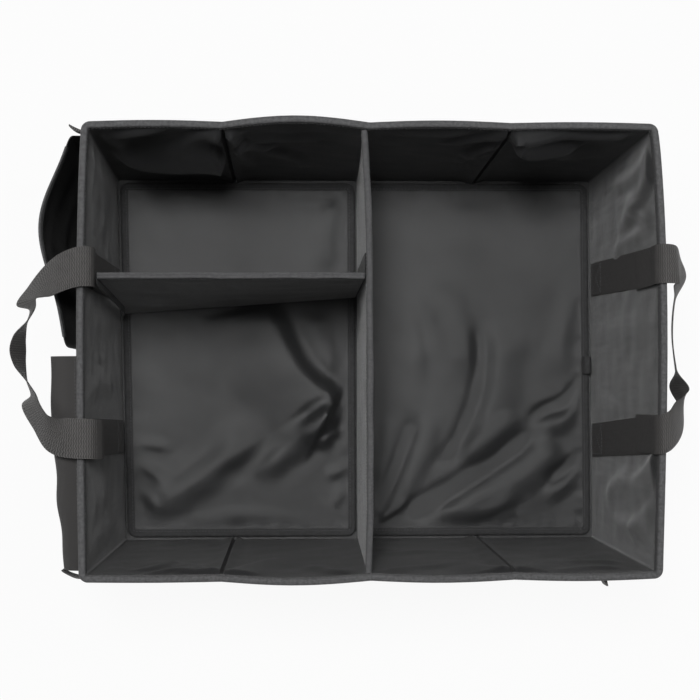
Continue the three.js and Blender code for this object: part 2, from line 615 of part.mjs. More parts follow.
const RIGHT_LOOP = [
  { at: [onAnchor, 83, -74], across: [0, 1, 0] },
  { at: [onAnchor, 83, -20], across: [0, 1, 0] },
  { at: [onAnchor - 0.8, 83, -4], across: [0, 1, 0] },
  { at: [-1.5, 83, 4.5], across: [0, 1, 0] },
  { at: [10, 82, 2], across: [0.02, 0.98, -0.2] },
  { at: [15.5, 77, -9], across: [0.25, 0.7, -0.67] },
  { at: [18, 67, -15.5], across: [0.53, 0.28, -0.8] },
  { at: [14, 49.5, -20], across: [0.28, 0.03, -0.96] },
  { at: [11.5, 15.5, -21], across: [0.28, 0, -0.96] },
  { at: [15, -19.5, -20], across: [0.25, 0, -0.97] },
  { at: [17.5, -36, -18], across: [-0.21, 0, -0.97] },
  { at: [20.5, -52, -14], across: [0.2, -0.4, -0.9] },
  { at: [13.5, -66, -5], across: [0.3, -0.8, -0.52] },
  { at: [4, -77, 3], across: [0.1, -0.97, -0.2] },
  { at: [-3.5, -81, 4.5], across: [0, -1, 0] },
  { at: [onAnchor - 0.8, -82, -4], across: [0, -1, 0] },
  { at: [onAnchor - 0.3, -82, -24], across: [0, -1, 0] },
  { at: [onAnchor - 0.3, -82, -74], across: [0, -1, 0] },
];

function handleLoop(wall, stops) {
  const sign = wall === 'left' ? -1 : 1;
  const middle = new THREE.CatmullRomCurve3(stops.map(({ at: [out, y, up] }) => {
    const z = Math.min(HEIGHT + up, HEIGHT);
    return insideWall(wall, -sign * y, z, -WALL - out).setZ(HEIGHT + up);
  }), false, 'centripetal');
  const turn = new THREE.CatmullRomCurve3(stops.map(({ across: [out, y, up] }) => {
    return new THREE.Vector3(sign * out, y, up);
  }));
  const perStop = 3;
  const steps = (stops.length - 1) * perStop;
  return sheet(spread(0, 1, steps), [-0.5, 0.5], (t, across, face) => {
    const direction = turn.getPoint(t).normalize();
    const normal = middle.getTangent(t).cross(direction).normalize();
    return middle.getPoint(t)
      .addScaledVector(direction, across * WEBBING_WIDTH)
      .addScaledVector(normal, (face - 0.5) * WEBBING);
  });
}

add('handle_loop_left', handleLoop('left', LEFT_LOOP), webbing());
add('handle_loop_right', handleLoop('right', RIGHT_LOOP), webbing());

// Pockets outside the left end. A pocket panel leaves the wall at its foot and at both ends, and
// stands out from it by swell at the top.
function outsideLeft(y, z, out) {
  return wallPoint('left', wallPlace('left', y, z), z, -out);
}

function endRise(u) {
  return Math.sin(Math.PI * u) ** 0.12;
}

function openPocketSwell(u) {
  return endRise(u) * (OPEN_POCKET_GUSSET + OPEN_POCKET_BULGE * Math.sin(Math.PI * u ** 1.25) ** 2);
}

function flapReach(u) {
  return lerp(FLAP_REACH.front, FLAP_REACH.back, smoothstep(u, 0, 0.8));
}

const stripRoom = 2 * HOOK_STRIP + 4 * CLEARANCE + POCKET_CLOTH;

function flapPocketSwell(u) {
  return endRise(u) * (flapReach(u) - stripRoom);
}

// How far a pocket panel stands out at a share of its height
function pocketProfile(share) {
  return Math.min(1, share * 9) * lerp(0.72, 1, share);
}

const pocketColumns = [0, 0.01, 0.03, 0.07, ...spread(0.14, 0.86, 10), 0.93, 0.97, 0.99, 1];

// A place along a pocket's length, drawn in on its inner face by the thickness of the cloth
function pocketPlace(ends, u, inner) {
  return lerp(ends[0], ends[1], u) + (0.5 - u) * inner * 2 * POCKET_CLOTH;
}

function pocketPanel(ends, top, swellAt) {
  const heights = [0, 0.04, 0.11, 0.3, 0.55, 0.8, 1];
  return sheet(pocketColumns, heights, (u, share, face) => {
    const out = CLEARANCE + (swellAt(u) * pocketProfile(share)) + face * POCKET_CLOTH;
    const z = lerp(POCKET_FOOT, top, share) + (1 - face) * POCKET_CLOTH * (1 - share);
    return outsideLeft(pocketPlace(ends, u, 1 - face), z, out);
  });
}

add('open_pocket_panel', pocketPanel(OPEN_POCKET_ENDS, OPEN_POCKET_TOP, openPocketSwell), outerCloth());
add('flap_pocket_panel', pocketPanel(FLAP_POCKET_ENDS, FLAP_POCKET_TOP, flapPocketSwell), outerCloth());

// The tape folded over the mouth of the open pocket
function openPocketTape() {
  const foot = OPEN_POCKET_TOP - OPEN_POCKET_TAPE_DEPTH;
  const top = OPEN_POCKET_TOP + CLEARANCE + DIVIDER_TAPE;
  const section = foldedTape(0, POCKET_CLOTH, foot, top, 0, DIVIDER_TAPE);
  return sheet(pocketColumns.slice(3, -3), [0, 1, 2, 3, 4], (u, row, face) => {
    const [across, z] = section[face][row];
    const share = (z - POCKET_FOOT) / (OPEN_POCKET_TOP - POCKET_FOOT);
    const out = CLEARANCE + openPocketSwell(u) * pocketProfile(share) + across;
    return outsideLeft(pocketPlace(OPEN_POCKET_ENDS, u, 1 - row / 4), z, out);
  });
}

add('open_pocket_binding', openPocketTape(), bindingTape());

// The pocket flap is sewn to the wall under the rim, lies outwards over the pocket and hangs down
function pocketFlap() {
  const [front, back] = [FLAP_POCKET_ENDS[0] - 3, FLAP_POCKET_ENDS[1] + 3];
  const path = [
    { reach: 0, drop: 0 },
    { reach: 0.4, drop: 1.5 },
    { reach: 0.8, drop: 4 },
    { reach: 0.96, drop: 7 },
    { reach: 1, drop: 12 },
    { reach: 1, drop: 35 },
    { reach: 1, drop: FLAP_HANG },
  ];
  return sheet(spread(0, 1, 14), path, (u, { reach, drop }, face) => {
    const out = CLEARANCE + reach * flapReach(u) + (reach > 0.9 ? face * POCKET_CLOTH : 0);
    const z = FLAP_SEAM_TOP - drop - (reach > 0.9 ? 0 : (1 - face) * POCKET_CLOTH);
    return outsideLeft(lerp(front, back, u), z, out);
  });
}

add('pocket_flap', pocketFlap(), flapCloth());

// Hook tape inside the flap, over loop tape on the pocket
function hookStrip(outAt, middleZ) {
  const halfShare = HOOK_STRIP_LENGTH / 2 / (FLAP_POCKET_ENDS[1] - FLAP_POCKET_ENDS[0]);
  const rows = [middleZ - HOOK_STRIP_WIDTH / 2, middleZ + HOOK_STRIP_WIDTH / 2];
  return sheet(spread(0.5 - halfShare, 0.5 + halfShare, 8), rows, (u, z, face) => {
    return outsideLeft(lerp(FLAP_POCKET_ENDS[0], FLAP_POCKET_ENDS[1], u), z, outAt(u, z) + face * HOOK_STRIP);
  });
}

const stripZ = FLAP_SEAM_TOP - FLAP_HANG + HOOK_STRIP_WIDTH / 2 + 4;
add('flap_hook_strip', hookStrip((u) => flapReach(u) - HOOK_STRIP, stripZ), hookTape());
add('pocket_loop_strip', hookStrip((u, z) => {
  const share = (z - POCKET_FOOT) / (FLAP_POCKET_TOP - POCKET_FOOT);
  return 2 * CLEARANCE + POCKET_CLOTH + flapPocketSwell(u) * pocketProfile(share);
}, stripZ), hookTape());

// Small sewn tabs: a doubled ribbon that stands out from a seam of the outer cloth
const TAB_WIDTH = 16;
const TAB_MIDDLE = HEIGHT - 22;
const FRONT_TAB_X = RIM_WIDTH / 2 - 52;

function seamTab(wall, q, z, length, sweep, width = TAB_WIDTH) {
  const root = wallPoint(wall, q, z, -CLEARANCE);
  const outward = root.clone().sub(wallPoint(wall, q, z, 4)).setZ(0).normalize();
  const sideways = new THREE.Vector3(-outward.y, outward.x, 0);
  return sheet(spread(0, 1, 4), [-0.5, 0.5], (t, across, face) => {
    const bend = sweep * t * t + (face - 0.5) * 2 * WEBBING * (0.6 + 0.4 * Math.sin(Math.PI * t));
    return root.clone()
      .addScaledVector(outward, t * length)
      .addScaledVector(sideways, bend)
      .setZ(z + across * width);
  });
}

add('corner_tab_front', seamTab('left', -1.85, TAB_MIDDLE, 13, -17), webbing());
add('corner_tab_back', seamTab('left', 1.2, TAB_MIDDLE + 5.3, 14, -4, 12), webbing());
add('front_wall_tab', seamTab('front', wallPlace('front', -FRONT_TAB_X), TAB_MIDDLE, 8, 2), webbing());

export default organizer;
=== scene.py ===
# %% [markdown]
# # A folding car trunk organizer
# The object is an open cloth box with stiff folding walls, two dividers, two covered base boards, webbing
# handles and two outer pockets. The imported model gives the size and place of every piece. This scene
# replaces the plain cloth solids by modelled cloth, and gives every piece a worked-out finish.

import json
import math

import bpy
import numpy as np
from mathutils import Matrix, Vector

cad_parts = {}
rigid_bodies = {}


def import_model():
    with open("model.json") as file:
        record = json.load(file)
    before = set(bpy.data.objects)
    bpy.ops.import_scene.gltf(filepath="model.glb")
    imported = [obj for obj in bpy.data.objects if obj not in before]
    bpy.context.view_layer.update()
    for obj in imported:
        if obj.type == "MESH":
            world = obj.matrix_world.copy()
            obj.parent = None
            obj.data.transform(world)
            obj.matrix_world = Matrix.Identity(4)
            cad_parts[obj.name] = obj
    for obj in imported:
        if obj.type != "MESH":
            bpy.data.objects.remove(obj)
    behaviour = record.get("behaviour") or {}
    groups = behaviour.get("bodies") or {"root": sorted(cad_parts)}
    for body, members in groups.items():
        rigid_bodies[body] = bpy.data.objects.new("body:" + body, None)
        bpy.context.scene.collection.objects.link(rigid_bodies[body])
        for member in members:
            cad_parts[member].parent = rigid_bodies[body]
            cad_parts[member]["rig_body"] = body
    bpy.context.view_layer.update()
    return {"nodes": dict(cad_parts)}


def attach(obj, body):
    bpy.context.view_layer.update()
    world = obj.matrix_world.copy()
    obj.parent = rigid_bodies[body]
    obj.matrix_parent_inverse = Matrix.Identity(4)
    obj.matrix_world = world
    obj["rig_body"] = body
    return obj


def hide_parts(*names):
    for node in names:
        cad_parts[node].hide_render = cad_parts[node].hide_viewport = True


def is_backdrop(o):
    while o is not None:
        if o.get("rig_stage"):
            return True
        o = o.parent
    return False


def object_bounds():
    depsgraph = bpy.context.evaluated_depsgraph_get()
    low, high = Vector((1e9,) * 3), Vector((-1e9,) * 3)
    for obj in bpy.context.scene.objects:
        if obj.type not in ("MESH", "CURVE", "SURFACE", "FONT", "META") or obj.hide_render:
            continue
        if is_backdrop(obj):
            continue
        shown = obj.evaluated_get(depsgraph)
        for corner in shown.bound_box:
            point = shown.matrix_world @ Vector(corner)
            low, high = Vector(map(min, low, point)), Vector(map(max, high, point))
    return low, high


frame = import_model()
NODE_BODY = {name: node["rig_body"] for name, node in frame["nodes"].items()}

# %% [markdown]
# ## Camera
# The photograph looks straight down into the box from about a metre and a half, a little left of and in
# front of the middle. Its place and lens were found from the rim, the wall feet and the wall creases. The
# camera is made first, so that each later piece can be looked at from the photograph's own view.

# %% Camera
CAMERA_PLACE = (-0.064, -0.0474, 1.552)
CAMERA_TURN = (2.14, -1.91, -0.14)
CAMERA_LENS = 68.43

camera_data = bpy.data.cameras.new("camera")
camera_data.lens = CAMERA_LENS
camera_data.sensor_width = 36
camera = bpy.data.objects.new("camera", camera_data)
camera.location = CAMERA_PLACE
camera.rotation_euler = [math.radians(angle) for angle in CAMERA_TURN]
bpy.context.scene.collection.objects.link(camera)
bpy.context.scene.camera = camera
print("camera stands", CAMERA_PLACE[2], "m above the ground")

# %% [markdown]
# ## Sizes
# The cloth follows the same values as the solids that it replaces, so they are repeated here in
# millimetres. A wall is a thin sandwich: outer cloth, board, lining. It bows outwards between its creases,
# and the whole box leans a little because nothing rigid holds it.

# %% Sizes of the open box
MM = 0.001
RIM_WIDTH, RIM_DEPTH = 556, 438
FOOT_WIDTH, FOOT_DEPTH = 554, 427
HEIGHT = 280
FOOT_LEAN, LEFT_FOOT_LEAN, LEFT_FOOT_SKEW = -2.5, -2, -6
CORNER_RADIUS = 8
DIVIDER_X, CREASE_LEFT, CREASE_RIGHT = -2, -143.8, 135.5
BOWS = {"back": (1.5, 6.5, 2.2, 1.2), "front": (0.6, 4, 2.5, 1.8), "left": 3.5, "right": 7}
CLEARANCE = 0.3
WALL = 4.5
OUTER_CLOTH, LINING = 0.9, 0.6
OUTER_STEP, LINING_STEP = 4.5, 3.4
WALL_FOOT, WALL_TOP = 1.5, 277.2

# Each wall runs along one direction in plan and faces out along another, clockwise from above
WALLS = {
    "back": ((1, 0), (0, 1)),
    "right": ((0, -1), (1, 0)),
    "front": ((-1, 0), (0, -1)),
    "left": ((0, 1), (-1, 0)),
}
WALL_SIGN = {"back": 1, "right": -1, "front": -1, "left": 1}
corner_place = RIM_WIDTH / 2 - CORNER_RADIUS
fold_places = np.array([-corner_place, CREASE_LEFT, DIVIDER_X, CREASE_RIGHT, corner_place])


def is_long(wall):
    return wall in ("back", "front")


def rim_length(wall):
    return RIM_WIDTH if is_long(wall) else RIM_DEPTH


def straight_half(wall):
    """Half the straight length of a wall at the rim."""
    return rim_length(wall) / 2 - CORNER_RADIUS


def world_place(wall, q):
    """Where q lies along X on a long wall, and along Y on an end wall."""
    return WALL_SIGN[wall] * np.clip(q, -1, 1) * straight_half(wall)


def wall_q(wall, place, z=HEIGHT):
    """The value of q at a place along X or Y, at height z."""
    foot, rim = (FOOT_WIDTH, RIM_WIDTH) if is_long(wall) else (FOOT_DEPTH, RIM_DEPTH)
    half = (foot + (rim - foot) * z / HEIGHT) / 2 - CORNER_RADIUS
    return WALL_SIGN[wall] * place / half


def rim_bow(wall, place):
    """How far the rim stands out of a straight line, at a place along X or Y."""
    if not is_long(wall):
        across = np.clip(0.5 - place / (RIM_DEPTH - 2 * CORNER_RADIUS), 0, 1)
        return BOWS[wall] * np.sin(np.pi * across**0.75)
    k = np.clip(np.searchsorted(fold_places, place, side="left") - 1, 0, 3)
    across = np.clip((place - fold_places[k]) / (fold_places[k + 1] - fold_places[k]), 0, 1)
    return np.array(BOWS[wall])[k] * np.sin(np.pi * across)


def foot_shift(x, y):
    """How far the foot lies from its place under the rim. The left end also stands askew."""
    share = np.clip((CREASE_LEFT - x) / (CREASE_LEFT + FOOT_WIDTH / 2), 0, 1)
    return FOOT_LEAN + share * (LEFT_FOOT_LEAN + LEFT_FOOT_SKEW * y / (FOOT_DEPTH / 2))


def wall_point(wall, q, z, depth):
    """A point of a wall in millimetres: q is -1 to 1 on its straight part and reaches -2 and 2 at the
    middles of its corners, and depth counts inwards from the face of the outer cloth."""
    q, z, depth = np.broadcast_arrays(*(np.asarray(v, float) for v in (q, z, depth)))
    share = z / HEIGHT
    half_x = (FOOT_WIDTH + (RIM_WIDTH - FOOT_WIDTH) * share) / 2
    half_y = (FOOT_DEPTH + (RIM_DEPTH - FOOT_DEPTH) * share) / 2
    half_along, half_out = (half_x, half_y) if is_long(wall) else (half_y, half_x)
    straight = np.clip(q, -1, 1)
    turn = (q - straight) * math.pi / 4
    bow = np.where(np.abs(q) < 1, rim_bow(wall, world_place(wall, q)), 0)
    along = straight * (half_along - CORNER_RADIUS) + np.sin(turn) * (CORNER_RADIUS - depth)
    out = half_out - CORNER_RADIUS + np.cos(turn) * (CORNER_RADIUS - depth) + bow * share
    (ax, ay), (ox, oy) = WALLS[wall]
    x, y = ax * along + ox * out, ay * along + oy * out
    return np.stack([x + foot_shift(x, y) * (1 - share), y, z], -1)


def inside_wall(wall, place, z, room):
    """A point of the compartment, at a place along the wall and a distance in from its lining."""
    return wall_point(wall, wall_q(wall, place, z), z, WALL + room)


print("rim corner at", wall_point("back", 2, HEIGHT, 0).round(1), "mm")

# %% [markdown]
# ## Closed sheets
# Cloth, tape and webbing are thin, but an exported mesh has to be closed. So each is built as two grids of
# points, its face and its underside, sewn together round the edge. A flat map in millimetres goes with the
# mesh, and the weave of each cloth follows that map round every fold. A Solidify modifier could thicken one
# grid, but two grids also allow a thickness that changes, as at the edges of webbing.


# %% Sheet builder
def crossed(first, second):
    """Two grids of values: one changes from column to column, the other from row to row."""
    return np.meshgrid(first, second, indexing="ij")


def xyz(x, y, z):
    """Points from their coordinates."""
    return np.stack(np.broadcast_arrays(x, y, z), -1)


def arc_lengths(grid, axis, wrapped):
    """Distances along a grid of points, averaged over its other direction."""
    steps = np.diff(grid, axis=axis)
    if wrapped:
        steps = np.concatenate([steps, grid[:1] - grid[-1:]])
    lengths = np.linalg.norm(steps, axis=-1).mean(axis=1 - axis)
    return np.concatenate([[0], np.cumsum(lengths)])


def signed_volume(points, quads):
    a, b, c, d = (points[quads[:, k]] for k in range(4))
    return (a * np.cross(b, c)).sum() + (a * np.cross(c, d)).sum()


def solid_sheet(name, face, under, wrapped=False, sharp=50):
    """A closed sheet from two grids of shape (columns, rows, 3) in millimetres. A wrapped sheet is a ring."""
    columns, rows = face.shape[:2]
    count = columns * rows
    points = np.concatenate([face.reshape(-1, 3), under.reshape(-1, 3)])
    index = np.arange(count).reshape(columns, rows)
    here, there = (index, np.roll(index, -1, 0)) if wrapped else (index[:-1], index[1:])
    flat_map = np.stack(crossed(arc_lengths(face, 0, wrapped), arc_lengths(face, 1, False)), -1)
    uv_here, uv_there = flat_map[:-1], flat_map[1:]
    first, last = slice(0, 1), slice(-1, None)
    parts = []

    def patch(corners, uv_corners):
        parts.append((np.stack(corners, -1).reshape(-1, 4), np.stack(uv_corners, -2).reshape(-1, 4, 2)))

    patch([here[:, :-1], there[:, :-1], there[:, 1:], here[:, 1:]],
          [uv_here[:, :-1], uv_there[:, :-1], uv_there[:, 1:], uv_here[:, 1:]])
    top, top_uv = parts[0]
    parts.append((top[:, ::-1] + count, top_uv[:, ::-1]))
    for row, a, b, uv_a, uv_b in ((first, there, here, uv_there, uv_here), (last, here, there, uv_here, uv_there)):
        patch([a[:, row], b[:, row], b[:, row] + count, a[:, row] + count], [uv_a[:, row], uv_b[:, row]] * 2)
    if not wrapped:
        low, high, uv_low, uv_high = index[:, :-1], index[:, 1:], flat_map[:, :-1], flat_map[:, 1:]
        for end, a, b, uv_a, uv_b in ((first, low, high, uv_low, uv_high), (last, high, low, uv_high, uv_low)):
            patch([a[end], b[end], b[end] + count, a[end] + count], [uv_a[end], uv_b[end], uv_b[end], uv_a[end]])
    quads, uvs = (np.concatenate(each) for each in zip(*parts))
    if signed_volume(points, quads) < 0:
        quads, uvs = quads[:, ::-1], uvs[:, ::-1]
    return new_mesh(name, points, quads, uvs, sharp)


def new_mesh(name, points, quads, uvs, sharp):
    """A smooth mesh object with its flat map, and with creases where it turns by more than sharp degrees."""
    mesh = bpy.data.meshes.new(name)
    mesh.from_pydata((points * MM).tolist(), [], quads.tolist())
    flat = mesh.uv_layers.new(name="flat")
    flat.data.foreach_set("uv", uvs.astype(np.float32).ravel())
    mesh.polygons.foreach_set("use_smooth", np.ones(len(quads), bool))
    mesh.set_sharp_from_angle(angle=math.radians(sharp))
    piece = bpy.data.objects.new(name, mesh)
    bpy.context.scene.collection.objects.link(piece)
    return piece


def spread(start, stop, step):
    """Even values from start to stop, about a step apart."""
    return np.linspace(start, stop, max(2, round(abs(stop - start) / step) + 1))


def dress(piece, finish, slot, *nodes):
    """Gives a piece its finish, lets it ride where its CAD nodes ride and stand for them."""
    piece.data.materials.append(finish)
    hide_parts(*nodes)
    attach(piece, NODE_BODY[nodes[0]])
    return piece


print("sheet builder ready")

# %% [markdown]
# ## Curves and folds
# A fold in cloth is a ridge along a curve: it rises gently on one side, drops faster on the other, and
# fades at its ends. One function adds up such ridges over a surface, so that each fold can be drawn by a
# few given points. Finer ripples are a sum of sine waves with a fixed seed. A cloth simulation
# gives folds too, but not in the places where the photograph has them.


# %% Curves
def smooth(value, low, high):
    share = np.clip((value - low) / (high - low), 0, 1)
    return share * share * (3 - 2 * share)


def curve_points(stops, t):
    """Places on a centripetal curve through the stops, with its direction, for t from 0 to 1."""
    stops = np.asarray(stops, float)
    last = len(stops) - 1
    padded = np.concatenate([[2 * stops[0] - stops[1]], stops, [2 * stops[-1] - stops[-2]]])
    at = np.asarray(t) * last
    span = np.clip(np.floor(at).astype(int), 0, last - 1)
    w = (at - span)[:, None]
    p0, p1, p2, p3 = (padded[span + k] for k in range(4))
    d0, d1, d2 = (np.maximum(np.sqrt(np.linalg.norm(b - a, axis=1)), 1e-3)[:, None]
                  for a, b in ((p0, p1), (p1, p2), (p2, p3)))
    m1 = ((p1 - p0) / d0 - (p2 - p0) / (d0 + d1) + (p2 - p1) / d1) * d1
    m2 = ((p2 - p1) / d1 - (p3 - p1) / (d1 + d2) + (p3 - p2) / d2) * d1
    c2, c3 = -3 * p1 + 3 * p2 - 2 * m1 - m2, 2 * p1 - 2 * p2 + m1 + m2
    return p1 + w * (m1 + w * (c2 + w * c3)), m1 + w * (2 * c2 + 3 * w * c3)


def unit(vectors):
    return vectors / np.linalg.norm(vectors, axis=-1, keepdims=True)


# %% Folds
USUAL_FADES = (0.3, 0.3)
PATH_STEPS = 22


def fold_heights(x, y, folds):
    """The summed height of folds at each point. A fold is a row of its path, its height, the widths of its
    flanks to the left and right of the path in millimetres, and the shares of its length over which it fades
    at its start and its end. A furrow has a negative height."""
    total = np.zeros(x.shape)
    here = np.stack([x.ravel(), y.ravel()], -1)
    rows = np.arange(len(here))
    for path, height, left, right, *fades in folds:
        start, end = fades or USUAL_FADES
        line = curve_points(path, np.linspace(0, 1, PATH_STEPS))[0]
        step = np.diff(line, axis=0)
        away = here[:, None] - line[None, :-1]
        share = np.clip((away * step).sum(-1) / (step**2).sum(-1), 0, 1)
        gap = away - share[..., None] * step
        distance = np.linalg.norm(gap, axis=-1)
        near = distance.argmin(1)
        side = step[near, 0] * gap[rows, near, 1] - step[near, 1] * gap[rows, near, 0]
        t = (near + share[rows, near]) / len(step)
        fade = smooth(t / start, 0, 1) * smooth((1 - t) / end, 0, 1)
        flank = np.clip(1 - distance[rows, near] / np.where(side > 0, left, right), 0, 1)
        rise = 0.2 * flank + 0.8 * smooth(flank, 0, 1)
        total += (height * rise * fade).reshape(x.shape)
    return total


def ripples(x, y, wavelength, seed, waves=9):
    """Uneven ripples from -1 to 1, the same at every run."""
    rng = np.random.default_rng(seed)
    total = np.zeros(np.broadcast(x, y).shape)
    for _ in range(waves):
        angle, phase = rng.uniform(0, 2 * np.pi, 2)
        length = wavelength * rng.uniform(0.7, 1.5)
        total += np.sin(2 * np.pi * (x * np.cos(angle) + y * np.sin(angle)) / length + phase)
    return total / math.sqrt(waves)


ridge = [([(0, 0), (10, 0)], 2, 3, 3)]
print("a fold's ridge in the middle:", fold_heights(np.array([5.0]), np.array([0.0]), ridge))

# %% [markdown]
# ## Shader maths
# A finish is a small program. The class below wraps a socket, so that sums on values can be written as
# sums, and one method makes every other node. A pattern such as a weave is then a line or two. Placed and
# linked one by one, the same nodes would take several times as many lines.


# %% Finish builder
class Value:
    """A number that a shader works out at each point."""

    def __init__(self, finish, socket):
        self.finish, self.socket = finish, socket

    def __add__(self, other):
        return self.finish.math("ADD", self, other)

    def __sub__(self, other):
        return self.finish.math("SUBTRACT", self, other)

    def __rsub__(self, other):
        return self.finish.math("SUBTRACT", other, self)

    def __mul__(self, other):
        return self.finish.math("MULTIPLY", self, other)

    def __truediv__(self, other):
        return self.finish.math("DIVIDE", self, other)

    def __abs__(self):
        return self.finish.math("ABSOLUTE", self)

    __radd__ = __add__
    __rmul__ = __mul__

    def sine(self):
        return self.finish.math("SINE", self)

    def between(self, low, high):
        """0 below low, 1 above high, smooth between."""
        return self.finish.node("ShaderNodeMapRange", {"interpolation_type": "SMOOTHSTEP"},
                                {"Value": self, "From Min": low, "From Max": high})


class Finish:
    """A material that is being made."""

    def __init__(self, name, **constants):
        self.material = bpy.data.materials.new(name)
        self.material.use_nodes = True
        self.tree = self.material.node_tree
        self.tree.nodes.clear()
        self.shader = self.tree.nodes.new("ShaderNodeBsdfPrincipled")
        self.output = self.tree.nodes.new("ShaderNodeOutputMaterial")
        self.tree.links.new(self.shader.outputs[0], self.output.inputs["Surface"])
        for socket, constant in constants.items():
            self.shader.inputs[socket.replace("_", " ").title().replace("Ior", "IOR")].default_value = constant

    def node(self, kind, settings, sockets, out=0):
        """Makes one node: its settings first, then the values or links of its sockets."""
        made = self.tree.nodes.new(kind)
        for key, setting in settings.items():
            setattr(made, key, setting)
        for key, given in sockets.items():
            self.feed(made.inputs[key], given)
        return Value(self, made.outputs[out])

    def feed(self, socket, given):
        if isinstance(given, Value):
            self.tree.links.new(given.socket, socket)
        else:
            socket.default_value = given

    def math(self, operation, *given):
        return self.node("ShaderNodeMath", {"operation": operation}, dict(enumerate(given)))

    def flat(self):
        """The two coordinates of the flat map, in millimetres."""
        uv = self.node("ShaderNodeUVMap", {"uv_map": "flat"}, {})
        split = self.node("ShaderNodeSeparateXYZ", {}, {0: uv})
        return split, Value(self, split.socket.node.outputs[1])

    def place(self):
        return self.node("ShaderNodeTexCoord", {}, {}, out="Object")

    def noise(self, scale, detail=3, roughness=0.5, vector=None):
        return self.node("ShaderNodeTexNoise", {},
                         {"Vector": vector or self.place(), "Scale": scale, "Detail": detail,
                          "Roughness": roughness})

    def blend(self, share, dark, light):
        """A colour between two, by a value."""
        return self.node("ShaderNodeMix", {"data_type": "RGBA"},
                         {"Factor": share, "A": (*dark, 1), "B": (*light, 1)}, out="Result")

    def surface(self, color, roughness, height):
        """Joins colour, roughness and a height in millimetres to the shader, and gives the material."""
        self.feed(self.shader.inputs["Base Color"], color)
        self.feed(self.shader.inputs["Roughness"], roughness)
        bump = self.node("ShaderNodeBump", {}, {"Height": height, "Distance": MM})
        self.feed(self.shader.inputs["Normal"], bump)
        return self.material


print("finish builder ready")

# %% [markdown]
# ## Cloth finishes
# The lining is a satin polyester: its threads are fine, and its folds shine softly. The outer cloth is a
# coarser plain weave. In a plain weave each thread passes over one neighbour and under the next. Two sine
# waves give the round threads, and the sign of their product says which of the two lies on top. Threads
# as geometry would take millions of faces, so they are only a height in the finish.


# %% Woven cloths
def plain_weave(finish, pitch):
    """Height from 0 to 1 of a plain weave with threads a pitch apart, in millimetres."""
    u, v = finish.flat()
    warp = (u * (math.pi / pitch)).sine()
    weft = (v * (math.pi / pitch)).sine()
    over = (warp * weft * 4 + 0.5).between(0, 1)
    return abs(warp) * over + abs(weft) * (1 - over)


def cloth(name, dark, light, roughness, pitch, depth, crumple, run, **constants):
    """A woven cloth: two close colours, an uneven shine, and small creases. Run is how far the creases
    reach across and along the cloth, in millimetres."""
    finish = Finish(name, **constants)
    weave = plain_weave(finish, pitch)
    cloud = finish.noise(9, detail=4)
    u, v = finish.flat()
    creased = finish.node("ShaderNodeCombineXYZ", {}, {0: u / run[0], 1: v / run[1]})
    dent = finish.noise(1, detail=2, vector=creased)
    grain = finish.noise(900, detail=2)
    share = cloud.between(0.3, 0.7) * 0.5 + weave * 0.3 + grain * 0.2
    color = finish.blend(share, dark, light)
    shine = cloud * 0.16 + dent * 0.1 + grain * 0.1 + (roughness - 0.18)
    return finish.surface(color, shine, (weave + grain * 0.6) * depth + dent * crumple)


lining_cloth = cloth("satin_lining", (0.016, 0.0162, 0.017), (0.040, 0.0405, 0.042), 0.46, 0.45, 0.05, 1.6,
                     (60, 60), specular_ior_level=0.8, sheen_weight=0.08, sheen_roughness=0.35)
# painted light: a lighter copy of the satin lining, with a paler colour and more sheen, for the end walls and the
# divider faces, so that they read brighter than the long walls
painted_lit_lining = cloth("satin_lining_painted_lit", (0.018, 0.0182, 0.019), (0.052, 0.0525, 0.054), 0.46, 0.45, 0.05, 2.4,
                   (22, 120), specular_ior_level=0.8, sheen_weight=0.5, sheen_roughness=0.35)
outer_cloth = cloth("coarse_outer_cloth", (0.010, 0.010, 0.0104), (0.024, 0.024, 0.025), 0.6, 0.9, 0.16, 1.6,
                    (50, 110), specular_ior_level=0.4, sheen_weight=0.08)
flap_cloth = cloth("flap_cloth", (0.040, 0.038, 0.037), (0.070, 0.067, 0.066), 0.66, 0.8, 0.18, 2.0,
                   (60, 40), specular_ior_level=0.4, sheen_weight=0.15)
print("four cloths made")

# %% [markdown]
# ## Tape and webbing
# Binding tape is a narrow ribbed ribbon, with fine ribs across its length. Webbing is thick: its yarns run
# in short slanted steps that change direction in rows, which gives the small diamonds seen on the handles.
# Both patterns are sums of sine waves on the flat map, so they keep their size on every ribbon and bend.


# %% Tape, webbing, hook tape, thread and board
def ribbed_tape(name, dark, light, sheen, painted_shade_start=1000.0):
    """Ribbed ribbon. The last argument is where a painted shade over its inner edge begins, in millimetres across."""
    finish = Finish(name, specular_ior_level=0.4, sheen_weight=sheen, sheen_roughness=0.5)
    u, v = finish.flat()
    rib = abs((u * (math.pi / 1.3)).sine())
    yarn = abs((v * (math.pi / 0.8)).sine())
    cloud = finish.noise(300, detail=4, roughness=0.7)
    share = rib * 0.3 + yarn * 0.3 + cloud.between(0.3, 0.7) * 0.4
    # painted shade: the colour darkens across the tape's inner edge, where that edge lies in shade
    share = share - v.between(painted_shade_start, painted_shade_start + 1.5)
    color = finish.blend(share, dark, light)
    return finish.surface(color, cloud * 0.15 + 0.5, rib * 0.18 + yarn * 0.08 + cloud * 0.3)


def woven_webbing():
    finish = Finish("handle_webbing", specular_ior_level=0.45, sheen_weight=0.04, sheen_roughness=0.4)
    u, v = finish.flat()
    zigzag = abs((v * (math.pi / 4.75)).sine()) * 1.3
    step = (u * (2 * math.pi / 2.3) + zigzag * 2.2).sine()
    across = abs((v * (math.pi / 1.19)).sine())
    height = step.between(-0.8, 0.8) * 0.7 + across * 0.5
    cloud = finish.noise(150, detail=3)
    color = finish.blend(height * 0.75 + cloud * 0.3, (0.005, 0.0048, 0.0047), (0.13, 0.125, 0.122))
    return finish.surface(color, 0.62 - height * 0.12, height * 0.45 + cloud * 0.3)


